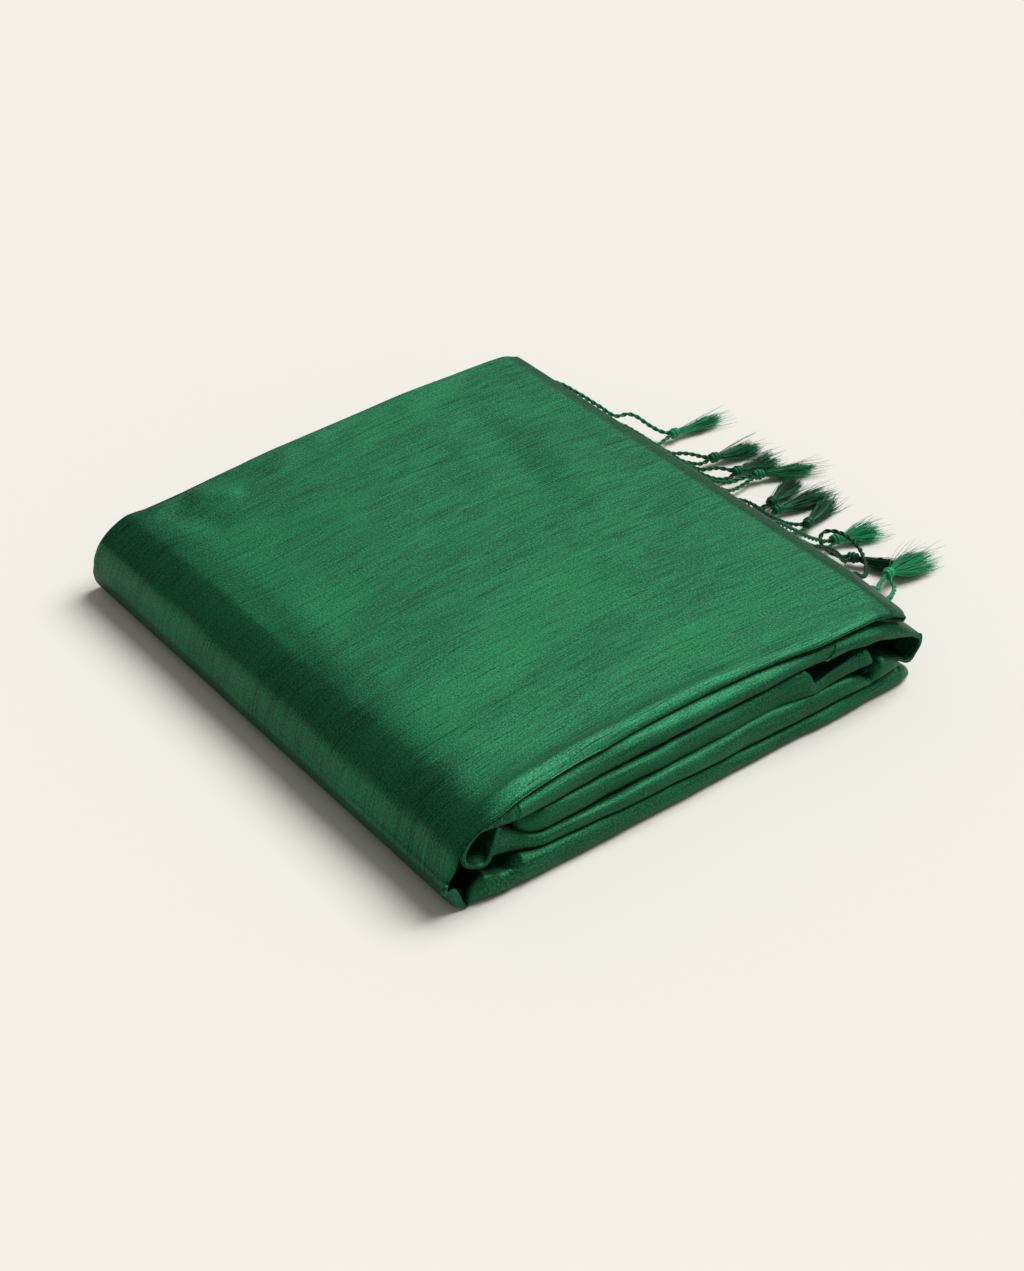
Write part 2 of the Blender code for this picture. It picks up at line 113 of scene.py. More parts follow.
# The outer cloth: one stretch of slubbed silk that lies over the top, turns round the left end and goes
# back under the pile. It is only folded, never sewn: its front edge is rolled under into a soft lip, which
# stands open at the left turn.
MM = 0.001
OUTER_WALL = 0.8
OUTER_BACK_TURN = (2.6, 2.4)
OUTER_CLOTH = np.array((
    # front x, z, back x, z, rim x, z, front edge y, back edge y, 1 where the front edge stands open
    (106, 39.2, 106, 39.6, 106, 38.2, -136.6, 136, 0),
    (113, 38, 113, 38.6, 112.6, 36.8, -138, 136, 0),
    (118.4, 37.4, 118.4, 38, 117.4, 36.4, -138.6, 136, 0),
    (120.9, 37.7, 120.9, 38.2, 119.4, 36.3, -139.2, 136.2, 0),
    (121.5, 38.8, 121.4, 39.2, 119.9, 37, -139.6, 136.4, 0),
    (120.2, 40.4, 120.2, 40.7, 118.9, 38.2, -140.2, 136.7, 0),
    (117, 41.8, 117, 42, 116.2, 39.2, -141, 136.9, 0),
    (113.6, 43, 113.6, 43.3, 113, 40, -141.4, 137.1, 0),
    (111.4, 43.5, 111.4, 43.8, 111, 40.3, -141.6, 137.2, 0),
    (106, 43.9, 106.5, 44, 106, 41.8, -141, 137.5, 0),
    (92, 44, 96, 43.9, 92, 42.3, -140.6, 138, 0),
    (70, 43.9, 75, 44, 70, 41.5, -139.6, 138, 0),
    (44, 43.6, 50, 44, 44, 40.5, -137.4, 138, 0),
    (16, 43.7, 20, 43.2, 16, 40.6, -136.2, 137.2, 0),
    (-12, 43.9, -10, 42.8, -12, 41.1, -136.6, 136, 0),
    (-40, 43.8, -36, 42.2, -40, 41.1, -138, 135, 0),
    (-64, 43.8, -58, 40.6, -64, 42.2, -140, 134, 0),
    (-84, 43.4, -78, 39.2, -84, 41.8, -142.2, 132.6, 0),
    (-97, 42.5, -94, 38.4, -97, 40.7, -143.6, 132.6, 0),
    (-105, 41.2, -104, 37.9, -104.5, 39.2, -144.6, 134.4, 0),
    (-111.5, 39.7, -108.6, 37.2, -110.5, 38.2, -144.8, 135, 0),
    (-117, 37.6, -113.4, 35, -115.6, 36.2, -144.7, 135.4, 0),
    (-121.8, 34.8, -118.2, 31.8, -120.2, 33.5, -144.5, 135.8, 0),
    (-125.4, 32, -121.4, 28.8, -123.8, 30.9, -144.4, 136, 0),
    (-127.9, 28, -123.2, 25.2, -126.3, 27.2, -144.4, 137, 0),
    (-129.1, 23.8, -124.3, 21.4, -127.6, 23, -144.4, 138, 0),
    (-130, 19.8, -125, 17.6, -129.2, 19, -144.4, 139, 0.4),
    (-130.8, 17, -125.3, 15.2, -131, 16.2, -144.6, 139, 1),
    (-131.6, 15.1, -125.5, 13.4, -133.8, 15.2, -145.2, 139.2, 1),
    (-131.8, 13.5, -125.6, 12, -133.4, 13, -145.4, 139.5, 1),
    (-131.5, 11.8, -125.6, 10.4, -130.4, 13.4, -145.4, 140, 1),
    (-131, 9.2, -125.3, 8.2, -128, 13.2, -145.4, 140, 1),
    (-130, 6, -124.7, 5.4, -125.8, 9.6, -145.4, 140, 1),
    (-128.2, 3, -123, 2.6, -124, 4.6, -145.4, 140, 1),
    (-125, 0.8, -119.6, 0.8, -122.2, 1.1, -145.6, 140, 1),
    (-119, 0, -114.5, 0, -119, 0, -144.2, 140, 1),
    (-113, 0, -111, 0, -113, 0, -139, 140, 0),
    (-104, 0, -104, 0, -104, 0, -132.5, 140, 0),
    (-20, 0, -20, 0, -20, 0, -132.5, 140, 0),
    (60, 0, 60, 0, 60, 0, -132.5, 140, 0),
    (118, 0, 118, 0, 118, 0, -132.5, 138, 0),
))
# How a front edge turns in: distance behind the edge where the rim is deep, where it is thin and where it
# stands open, and the share of the way to the rim
TURN_IN = np.array((
    (7, 0.6, 0.5, 1),
    (2.9, -0.9, 0.3, 0.98),
    (1.5, -0.6, 0.1, 0.9),
    (0.45, -0.2, 0, 0.74),
    (0, 0.3, 0, 0.54),
    (0.25, 1, 0.3, 0.33),
    (1.2, 2, 1.1, 0.15),
    (3, 3.6, 2.8, 0.045),
    (5.5, 6, 5.5, 0.01),
    (10, 10, 10, 0),
))
# Soft troughs and ridges of the outer cloth: x and y of the two ends, width, and height.
# x is that of the cloth unrolled, so it runs on past the left end down the turn.
UNROLLED_EDGE = 139.0
OUTER_CREASES = (
    (112, 60, 40, 104, 16, -0.7),
    (84, 96, 66, -6, 15, 0.75),
    (64, 112, 44, 10, 13, -0.75),
    (100, 20, 52, -64, 14, -0.6),
    (104, -22, 84, -112, 12, 0.45),
    (40, -30, -40, -52, 18, -0.4),
    (20, 74, -72, 56, 17, 0.35),
    (-6, 20, -88, 4, 14, -0.35),
    (40, -92, -30, -104, 10, 0.4),
    (-20, -84, -96, -76, 12, -0.45),
    (-64, -123, 30, -121, 10, -0.6),
    (-112, -127, -26, -122, 11, -1),
    (-66, -134.5, 40, -132, 4.4, 1.3),
    (-118, -139, -30, -133.5, 4.8, 2.1),
    (-48, -108, -104, -116, 9, -0.55),
    (40, -113, -30, -116, 5, 0.3),
    (80, -124, 14, -127, 4.5, -0.22),
    (112, -128, 92, -130, 5, -0.25),
    (-84, 128, -62, 112, 8, 1.1),
    (-98, 126, -82, 92, 10, -1),
    (-20, 130, -44, 118, 7, 0.5),
    (4, 130, -8, 112, 7, -0.5),
    (52, 132, 36, 120, 8, 0.45),
    (84, 134, 66, 118, 8, -0.4),
    (-100, 60, -112, -40, 9, -0.35),
    (-112, 90, -150, 40, 12, -0.4),
    (-116, -20, -152, -96, 12, 0.45),
    (-120, -96, -146, -132, 8, -0.5),
    (-128, 50, -158, -10, 9, 0.35),
)


def flow(knots, table, at):
    """Smooth curves through the rows of a table.

    Each column is a chain of cubics whose slope at a row is that of the parabola through the row and its
    two neighbours. knots gives the place of each row, and at the places that are read.
    """
    knots, table, at = np.asarray(knots, float), np.asarray(table, float), np.asarray(at, float)
    step = np.diff(knots)[:, None]
    rise = np.diff(table, axis=0) / step
    slope = np.empty_like(table)
    slope[1:-1] = (rise[:-1] * step[1:] + rise[1:] * step[:-1]) / (step[:-1] + step[1:])
    slope[0], slope[-1] = rise[0], rise[-1]
    i = np.clip(np.searchsorted(knots, at, side="right") - 1, 0, len(knots) - 2)
    width = (knots[i + 1] - knots[i])[:, None]
    t = (at[:, None] - knots[i][:, None]) / width
    start = (1 + 2 * t) * (1 - t) ** 2 * table[i] + t * (1 - t) ** 2 * width * slope[i]
    return start + t**2 * (3 - 2 * t) * table[i + 1] + t**2 * (t - 1) * width * slope[i + 1]


def distance_along(points):
    """Distance along a chain of points from the first to each."""
    return np.append(0.0, np.cumsum(np.linalg.norm(np.diff(points, axis=0), axis=1)))


def between(value, start, end):
    """Share of the way from start to end: 0 before start and 1 past end."""
    return np.clip((value - start) / (end - start), 0.0, 1.0)


def unit(vectors):
    """Vectors divided by their length."""
    return vectors / np.maximum(np.linalg.norm(vectors, axis=-1, keepdims=True), 1e-9)


FINE_STEPS = 4000


def spread(knots, spacing):
    """Places between the first knot and the last, with the spacing wanted at each knot.

    The count of places grows by the way over the spacing there, and the places lie where it is whole.
    """
    fine = np.linspace(knots[0], knots[-1], FINE_STEPS)
    count = np.append(0.0, np.cumsum(np.diff(fine) / np.interp(fine[1:], knots, spacing)))
    return np.interp(np.linspace(0.0, count[-1], int(round(count[-1])) + 1), count, fine)


# A rim is thin up to the first of these distances from the front edge, and deep from the second.
THIN_RIM, DEEP_RIM = 2.4, 4.0
BACK_BEND = np.linspace(0.0, np.pi / 2.0, 7)


def turned_loft(table, row_spacing, shares, turn_in, back_turn):
    """Points of a sheet whose section changes from its front edge to its back edge.

    A row is a place along the section. Across a row the point runs straight from the front section to the
    back one, at the given shares of the way, and near the front edge it curls in towards the rim as turn_in
    tells (see TURN_IN). The back edge curls in by a quarter ellipse, whose two radii are back_turn.
    """
    knots = distance_along(table[:, 0:2])
    rows = flow(knots, table, spread(knots, row_spacing))
    front, back, rim = rows[:, 0:2], rows[:, 2:4], rows[:, 4:6]
    y_front, y_back = rows[:, 6:7], rows[:, 7:8]
    rim_depth = np.linalg.norm(rim - front, axis=1, keepdims=True)
    deep = between(rim_depth, THIN_RIM, DEEP_RIM)
    curl = flow(np.arange(len(turn_in)), turn_in, np.linspace(0, len(turn_in) - 1, 3 * len(turn_in)))
    stands_open = rows[:, 8:9] if rows.shape[1] > 8 else np.zeros((len(rows), 1))
    behind = (1.0 - stands_open) * (deep * curl[:, 0] + (1.0 - deep) * curl[:, 1]) + stands_open * curl[:, 2]
    y_first, y_last = y_front + behind[:, -1:], y_back - back_turn[0]
    y_bend = y_back - back_turn[0] * (1.0 - np.sin(BACK_BEND))
    ys = np.concatenate((behind + y_front, y_first + (y_last - y_first) * shares, y_bend), axis=1)
    share = np.concatenate((curl[:, 3], np.zeros(len(shares) + len(BACK_BEND))))
    t = between(ys, y_front, y_back)
    xz = front[:, None] + (back - front)[:, None] * t[..., None] + (rim - front)[:, None] * share[:, None]
    along = np.gradient(back, axis=0)
    inward = unit(np.stack((-along[:, 1], along[:, 0]), 1))
    drop = np.concatenate((np.zeros(ys.shape[1] - len(BACK_BEND)), 1.0 - np.cos(BACK_BEND))) * back_turn[1]
    xz += inward[:, None] * drop[:, None]
    return np.stack((xz[..., 0], ys, xz[..., 1]), -1)


# A crease bows aside by a share of its length, up to a limit. Its bell is this steep.
CREASE_BOW, CREASE_BOW_LIMIT, CREASE_BELL = 0.035, 1.0, 1.6


def creased(along, across, creases):
    """Height of the listed creases over a sheet.

    Each is a ridge or trough along a slightly bowed line: its height times e to the minus of its squared
    distance, counted in widths. It fades out at the line's two ends.
    """
    height = np.zeros_like(along)
    for x0, y0, x1, y1, width, rise in creases:
        line = np.array((x1 - x0, y1 - y0), float)
        length = np.hypot(*line)
        forward = ((along - x0) * line[0] + (across - y0) * line[1]) / length
        aside = ((across - y0) * line[0] - (along - x0) * line[1]) / length
        bow = aside - min(CREASE_BOW * length, CREASE_BOW_LIMIT) * np.sin(np.pi * forward / length)
        fade = np.clip(1.0 - np.abs(2.0 * forward / length - 1.0) ** 3, 0.0, 1.0)
        height += rise * fade * np.exp(-((bow / width) ** 2) * CREASE_BELL)
    return height


def laid_out(name, corners, faces, material, weave=None):
    """An object at the origin, with a smooth mesh in metres from corners in millimetres. weave gives each
    corner's place on the cloth, for the weave map."""
    mesh = bpy.data.meshes.new(name)
    mesh.from_pydata((corners.reshape(-1, 3) * MM).tolist(), [], faces)
    if weave is not None:
        corner = np.zeros(len(mesh.loops), np.int32)
        mesh.loops.foreach_get("vertex_index", corner)
        mesh.uv_layers.new(name="weave").data.foreach_set("uv", weave.reshape(-1, 2)[corner].ravel() * MM)
    mesh.polygons.foreach_set("use_smooth", np.ones(len(mesh.polygons), bool))
    mesh.materials.append(material)
    laid = bpy.data.objects.new(name, mesh)
    scene.collection.objects.link(laid)
    return laid


def cloth(name, grid, wall, material, nodes, highlight_edging=None):
    """A thin sheet from a grid of points: quads between neighbours, then a wall laid inwards.

    Its weave map holds the distance along the rows and across them, in metres of cloth. The last argument is
    the material of the wall's rim: a lighter copy of the silk, a painted highlight where the edges catch the
    light.
    """
    rows, columns = grid.shape[:2]
    index = np.arange(rows * columns).reshape(rows, columns)
    quads = np.stack((index[:-1, :-1], index[:-1, 1:], index[1:, 1:], index[1:, :-1]), -1).reshape(-1, 4)
    along = distance_along(grid[:, columns // 2])
    across = distance_along(grid[rows // 2])
    weave = np.stack(np.meshgrid(along, across, indexing="ij"), -1)
    sheet = laid_out(name, grid, quads.tolist(), material, weave)
    thick = sheet.modifiers.new("Wall", "SOLIDIFY")
    thick.thickness = wall * MM
    thick.offset = -1.0
    if highlight_edging:
        sheet.data.materials.append(highlight_edging)
        thick.material_offset_rim = 1
    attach(sheet, "root")
    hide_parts(*nodes)


# Tones of the silk, as shares of its mean colour, and how it shines
DARK_THREAD, COOL_PATCH, BRIGHT_THREAD = 0.26, (0.92, 0.66, 0.78), (1.05, 1.42, 1.25)
SILK_SHINE = dict(
    Metallic=0.72, Roughness=0.44, Anisotropic=0.85, Anisotropic_Rotation=0.25, Specular_IOR_Level=0.1
)
# Patches of tone: cell along and across the thick threads in metres, detail, where the noise begins and
# where it is full, strength, and tone
PATCHES = (
    (0.055, 0.01, 2.0, 0.62, 0.36, 0.55, COOL_PATCH),
    (0.011, 0.0042, 2.0, 0.6, 0.36, 0.5, COOL_PATCH),
    (0.1, 0.05, 1.0, 0.46, 0.68, 0.42, BRIGHT_THREAD),
)
# Fine streaks and speckle, and the noise by which the thick threads waver: cell, detail and roughness.
# The last number is how far they waver, in metres.
STREAKS, SPECKLE = (0.024, 0.001, 3.0, 0.65), (0.0011, 0.0007, 2.0, 0.8)
WAVER_CELL, WAVER = (0.03, 0.012, 1.0), 0.0024
# Thick threads, long ones and short ones: cell along and across, and half their width, in metres
SLUBS = ((0.04, 0.0062, 0.00014), (0.018, 0.0034, 0.00011))
SLUB_DARK, SLUB_LIGHT, SLUB_HEIGHT = 0.9, 0.6, 0.8
WEAVE_BUMP, WEAVE_DEPTH = 0.55, 0.0002


def silk(name, tone, slubs=1.0):
    """Slubbed silk: the thick threads run along the first axis of the weave map.

    The threads lie so flat that the cloth shines only where they face a light squarely along their length.
    tone is the cloth's mean colour, and slubs how strongly the thick threads show.
    """
    made, tree, shader = new_material(name, **SILK_SHINE)

    def link(source, target):
        """Feeds an input from a socket, or gives it a plain value."""
        if isinstance(source, bpy.types.NodeSocket):
            tree.links.new(source, target)
        else:
            target.default_value = source

    def node(kind, *sources, **values):
        """A node of a kind with its settings, whose first inputs are fed by the sources."""
        found = tree.nodes.new(kind)
        for key, value in values.items():
            setattr(found, key, value)
        for source, target in zip(sources, found.inputs):
            link(source, target)
        return found

    def math_of(kind, *sources):
        return node("ShaderNodeMath", *sources, operation=kind).outputs[0]

    def times(first, second):
        return math_of("MULTIPLY", first, second)

    def over_cloth(along, across, source):
        """Place on the cloth, counted in cells that are along by across metres."""
        stretch = node("ShaderNodeMapping", source)
        set_inputs(stretch, Scale=(1.0 / along, 1.0 / across, 1.0))
        return stretch.outputs["Vector"]

    def noise(along, across, detail, roughness=0.5):
        grain = node("ShaderNodeTexNoise", over_cloth(along, across, place), noise_dimensions="2D")
        set_inputs(grain, Scale=1.0, Detail=detail, Roughness=roughness)
        return grain.outputs["Fac"]

    def band(source, low, high):
        """0 at low, 1 at high, and smooth between."""
        ramp = node("ShaderNodeMapRange", source, interpolation_type="SMOOTHSTEP")
        set_inputs(ramp, From_Min=low, From_Max=high)
        return ramp.outputs["Result"]

    def tinted(base, tint, shown, strength):
        """The base with the tint laid over it where it is shown, at the given strength."""
        mix = node("ShaderNodeMix", data_type="RGBA")
        link(times(shown, strength), mix.inputs[0])
        link(base, mix.inputs[6])
        link((*tint, 1.0), mix.inputs[7])
        return mix.outputs[2]

    def threads(along, across, half_width):
        """One thick thread in each cell of a scattered pattern: how much of it shows, and two chance values
        of the cell. The thread runs through the cell's centre and stops short of the next cell."""
        spot = over_cloth(along, across, wavering)
        cells = node("ShaderNodeTexVoronoi", spot, voronoi_dimensions="2D")
        set_inputs(cells, Scale=1.0)
        away = node("ShaderNodeVectorMath", spot, cells.outputs["Position"], operation="SUBTRACT")
        parts = node("ShaderNodeSeparateXYZ", away.outputs["Vector"])
        chance = node("ShaderNodeSeparateColor", cells.outputs["Color"])
        beside = times(math_of("ABSOLUTE", parts.outputs[1]), across)
        thin = band(beside, half_width * 1.6, half_width * 0.5)
        ends = band(math_of("ABSOLUTE", parts.outputs[0]), 0.52, 0.2)
        return times(thin, ends), chance.outputs[0], chance.outputs[1]

    place = node("ShaderNodeUVMap", uv_map="weave").outputs["UV"]
    thread_way = node("ShaderNodeTangent", direction_type="UV_MAP", uv_map="weave")
    link(thread_way.outputs["Tangent"], shader.inputs["Tangent"])
    shift = node("ShaderNodeCombineXYZ", 0.0, times(noise(*WAVER_CELL), WAVER)).outputs[0]
    wavering = node("ShaderNodeVectorMath", place, shift, operation="ADD").outputs["Vector"]

    tone = np.array(tone)
    dark, bright = tone * DARK_THREAD, tone * BRIGHT_THREAD
    base = (*tone, 1.0)
    for along, across, detail, begins, full, strength, patch in PATCHES:
        base = tinted(base, tone * patch, band(noise(along, across, detail), begins, full), strength)
    streaks, speckle = noise(*STREAKS), noise(*SPECKLE)
    for source, begins, full, strength, tint in (
        (streaks, 0.52, 0.72, 0.6, bright),
        (streaks, 0.48, 0.29, 0.55, dark),
        (speckle, 0.5, 0.36, 0.55, dark),
        (speckle, 0.54, 0.68, 0.7, bright * 1.3),
    ):
        base = tinted(base, tint, band(source, begins, full), strength)
    height = math_of("ADD", speckle, times(streaks, 0.5))
    for along, across, half_width in SLUBS:
        shown, first, second = threads(along, across, half_width)
        for chance, begins, full, strength, tint in (
            (first, 0.45, 0.98, SLUB_DARK, dark * 0.5),
            (second, 0.62, 0.98, SLUB_LIGHT, bright * 1.4),
        ):
            base = tinted(base, tint, shown, times(band(chance, begins, full), strength * slubs))
        height = math_of("ADD", height, times(shown, SLUB_HEIGHT * slubs))
    link(base, shader.inputs["Base Color"])

    bump = node("ShaderNodeBump")
    set_inputs(bump, Strength=WEAVE_BUMP, Distance=WEAVE_DEPTH)
    link(height, bump.inputs["Height"])
    link(bump.outputs["Normal"], shader.inputs["Normal"])
    return made


# Rows lie close together in the turns and at the hemmed right edge, and far apart on the flat underside.
# Columns are shares of the way from the front to the back, closer together near both edges.
row_spacing = np.interp(OUTER_CLOTH[:, 1], (0.5, 1.5, 18, 20, 37, 43), (9, 0.6, 0.6, 1, 1, 2.4))
row_spacing[:9] = 0.7
columns = spread(np.array((0.0, 0.06, 0.92, 1.0)), np.array((0.005, 0.0105, 0.0105, 0.0055)))[1:-1]
outer = turned_loft(OUTER_CLOTH, row_spacing, columns, TURN_IN, OUTER_BACK_TURN)
unrolled = UNROLLED_EDGE - distance_along(outer[:, outer.shape[1] // 2])[:, None] + 0.0 * outer[..., 0]
# The creases stand along the sheet's normals, the cross product of its two directions. They fade out near
# the floor and at the very front of the lip.
relief = creased(unrolled, outer[..., 1], OUTER_CREASES)
relief *= between(outer[..., 2], 3, 11) * between(outer[..., 1], -147, -142)
outer += unit(np.cross(np.gradient(outer, axis=1), np.gradient(outer, axis=0))) * relief[..., None]
# The top sheet's front right corner hangs a little lower, beyond a soft slanted bend through this place.
# The top sheet is what lies to the right of TOP_SHEET, counted along the cloth unrolled.
CORNER_X, CORNER_Y, CORNER_AIM, CORNER_SLOPE, CORNER_SOFT = 102.0, -136.5, (0.88, -0.476), 0.18, 2.0
TOP_SHEET = 60.0
beyond = CORNER_AIM[0] * (outer[..., 0] - CORNER_X) + CORNER_AIM[1] * (outer[..., 1] - CORNER_Y)
beyond = np.clip(beyond, 0.0, None)
drop = CORNER_SLOPE * (np.sqrt(beyond**2 + CORNER_SOFT) - math.sqrt(CORNER_SOFT))
outer[..., 2] -= drop * (unrolled > TOP_SHEET)
outer_silk = silk("outer_silk", (0.0165, 0.124, 0.056))
# A lighter copy of the silk for the rims of the walls: a painted highlight along the cloth's edges, where
# they catch the light.
edge_highlight_silk = silk("edge_highlight_silk", (0.085, 0.35, 0.19), slubs=0.2)
cloth("outer_cloth", outer, OUTER_WALL, outer_silk, ["outer_wrap"], edge_highlight_silk)


# The layered side: four folds of the same length of silk, rolled over softly one above the other. The
# second from the top is the hemmed inner end, which is kinked. The lowest one lies on the floor.
FOLD_WALL = 0.8
# y where the legs of a fold end inside the pile, how deep and how far out its nose is, and how many points
# it has
LEG_END, FOLD_DEPTH, NOSE_OUT, NOSE_POINTS = -122.0, 6.0, 1.2, 41
NOSE = slice(2, 2 + NOSE_POINTS)
NOSE_TURN = np.radians(np.linspace(86.0, -86.0, NOSE_POINTS))
GROOVE_GAP, FLOOR_GAP = 0.2, 0.4
UPPER_OUT, UPPER_ROUND = 1.1, 1.5
SIDE_TOP = 40.0
LAYERED_SIDE = np.array((
    # x, y at the floor, y of the top edge, lip, first, second and third groove, bulge at the floor
    (-122, -146.6, -144, 40, 31.4, 20.8, 17, 0),
    (-112, -147.2, -144, 40, 31.2, 20.6, 16, 0.4),
    (-105, -147.4, -144, 40.1, 31, 20.4, 14.8, 0.9),
    (-96, -147.6, -143, 40.4, 30.6, 19.6, 13.6, 1),
    (-86, -147.6, -142, 40.6, 30, 18.5, 12.4, 1),
    (-72, -147.4, -141, 40.8, 29.4, 18.8, 12, 1),
    (-50, -147.2, -138, 40.6, 28.3, 18.6, 11.6, 0.9),
    (-28, -146.8, -138, 40.6, 28.7, 19.2, 11.1, 0.7),
    (-6, -146.6, -137.6, 40.3, 29.8, 18.1, 10.2, 0.4),
    (16, -146, -137.6, 40, 30.3, 17.2, 8.8, 0.1),
    (40, -145, -137.4, 40, 30.2, 17, 7.4, -0.3),
    (58, -145.2, -138, 40, 31.1, 16.7, 8, -0.8),
    (66, -145.6, -138, 40, 31, 16.9, 8, -0.8),
    (74, -145.4, -138, 40.1, 30.9, 17.6, 8.3, -0.6),
    (86, -144.8, -140, 40.2, 30.2, 18.7, 9.1, -0.6),
    (98, -144.2, -141, 40.2, 29, 18.7, 9.6, -0.6),
    (110, -144, -142, 39.6, 27, 18.8, 10.6, -0.6),
    (122, -144, -142, 38, 23, 14, 12.4, -0.6),
))
fold_silk = silk("fold_silk", (0.0155, 0.12, 0.053), slubs=0.3)


def side_at(x):
    """The row of the layered side's table at each x."""
    return flow(LAYERED_SIDE[:, 0], LAYERED_SIDE, np.asarray(x, float))


def nose(turn, round_top):
    """How a fold's front is rounded: distance behind its front, and height as a share of half the fold's.

    turn is an angle up from the front. The lower half is squarer than the upper one, whose shoulder is drawn
    back into a slope where round_top is over 1.
    """
    reach = np.cos(turn) ** np.where(turn > 0.0, 0.8, 0.55)
    slope = np.clip(np.sin(turn), 0.0, 1.0) ** 2 * (round_top - 1.0)
    return FOLD_DEPTH * (1.0 - reach + slope), np.sign(turn) * np.abs(np.sin(turn)) ** 0.85


def fold_over(xs, top, bottom, forward=0.0, round_top=1.0, crown=0.0, low_leg=None):
    """Points of a fold along x: straight legs inside the pile, joined in front by a rounded nose.

    The nose leans with the layered side. forward moves it out, and crown raises its upper shoulder by the
    sine of twice the turn. low_leg is the height of the lower leg, where it isn't the fold's bottom.
    """
    side = side_at(xs)
    turn = NOSE_TURN[None, :]
    middle, half = ((top + bottom) / 2.0)[:, None], ((top - bottom) / 2.0)[:, None]
    behind, up = nose(turn, round_top)
    lean = side[:, 1:2] + (side[:, 2:3] - side[:, 1:2]) * middle / SIDE_TOP
    y = lean - NOSE_OUT - np.asarray(forward).reshape(-1, 1) + behind
    z = middle + half * up + crown * np.clip(np.sin(2.0 * turn), 0.0, 1.0)
    y_legs = np.broadcast_to((LEG_END, LEG_END - 4.0), (len(xs), 2))
    high, low = top[:, None], (bottom if low_leg is None else low_leg)[:, None]
    y = np.concatenate((y_legs, y, y[:, -1:] + 0.6, y[:, -1:] + 4.0, y_legs[:, ::-1]), axis=1)
    z = np.concatenate((high, high, z, bottom[:, None], low, low, low), axis=1)
    return np.stack(np.broadcast_arrays(xs[:, None], y, z), -1)


def grooves(xs, number):
    """Top and bottom of the room that a fold has, counted from the top."""
    side = side_at(xs)
    top = side[:, 2 + number] - GROOVE_GAP
    bottom = side[:, 3 + number] + GROOVE_GAP if number < 4 else np.full(len(xs), FLOOR_GAP)
    return top, bottom


def sink_behind(fold, share, start, most):
    """Lowers a fold behind its front, where share is 1, so that the front stands up alone: by a millimetre
    for each that a point lies further back than start, up to most."""
    upper = fold[:, : NOSE.start + NOSE_POINTS // 2]
    behind = upper[..., 1] - fold[:, NOSE, 1].min(axis=1, keepdims=True)
    upper[..., 2] -= share[:, None] * np.clip(behind - start, 0.0, most)


# The slow uneven swelling along a fold, up to about half a millimetre
SWELL = ((0.3, 17, 1), (0.22, 7.3, 2.3), (0.1, 3.1, 1))


def waves(along, kinds, seed=1):
    """Sum of sine waves. A kind is a height, the length of a radian, and a shift for each unit of seed."""
    return sum(height * np.sin(along / radian + shift * seed) for height, radian, shift in kinds)


def stations(*spans):
    """Places along x, from the start, end and spacing of each span."""
    return np.concatenate([np.arange(*span) for span in spans])


xs = stations((-96.4, 87.1, 1.5))
top, bottom = grooves(xs, 1)
# Both its ends run inside the cloth that carries it on, the loop on the left and the end turn on the right.
bottom = np.maximum(bottom, np.interp(xs, (70, 74, 87), (0, 31.2, 32.4)))
level_out = between(xs, -96, -84) * between(xs, 72, 60)
forward = waves(xs, SWELL, 1) * level_out + UPPER_OUT - np.interp(xs, (79, 83), (0, 0.9))
top = top - np.interp(xs, (79, 83), (0, 0.7))
upper = fold_over(xs, top, bottom, forward=forward, round_top=UPPER_ROUND)
cloth("upper_fold_cloth", upper, FOLD_WALL, fold_silk, ["upper_fold"])

xs = stations((-96, 55, 1.5), (55, 98.3, 0.4))
top, bottom = grooves(xs, 2)
KINK = np.array((
    # x, drop of the top edge, move forward
    (-96, 5.6, -9),
    (-93, 3.4, -5.6),
    (-89, 1.2, -2.4),
    (-84, 0.2, -0.6),
    (-76, 0, 0),
    (50, 0, 0),
    (58, -0.5, 0.3),
    (61.4, -0.7, 0.7),
    (63.2, 0, 0.9),
    (64.4, 2.2, 0.7),
    (65.6, 5.2, 0.3),
    (67, 6.8, 0),
    (70, 6.6, -0.2),
    (75, 5.3, -0.4),
    (81, 3.8, -0.5),
    (86, 2.7, -0.5),
    (90, 1.8, -0.4),
    (94, 0.9, -0.3),
    (98.3, 0.3, -0.2),
))
kink = flow(KINK[:, 0], KINK, xs)
hemmed = fold_over(xs, top - kink[:, 1], bottom, forward=waves(xs, SWELL, 2) + kink[:, 2], crown=0.9)
sink_behind(hemmed, np.interp(xs, (61.5, 65, 82, 90), (0, 1, 1, 0)), start=1.4, most=3.0)
# The hemmed end slants: it is longest at the bottom, and three rows of stitches run along it.
HEM_FROM, HEM_TO, HEM_LEVEL, HEM_SLANT = 86.0, 97.0, 24.0, 0.36
hemmed[..., 0] += between(xs, HEM_FROM, HEM_TO)[:, None] * (HEM_LEVEL - hemmed[..., 2]) * HEM_SLANT
STITCH_ROWS, STITCH_DEPTH, STITCH_WIDTH = (91.4, 92.9, 94.4), 0.55, 0.42
for stitched in STITCH_ROWS:
    hemmed[..., 1] += STITCH_DEPTH * np.exp(-(((xs - stitched) / STITCH_WIDTH) ** 2))[:, None]
cloth("hemmed_end_cloth", hemmed, FOLD_WALL, fold_silk, ["hemmed_end"], edge_highlight_silk)

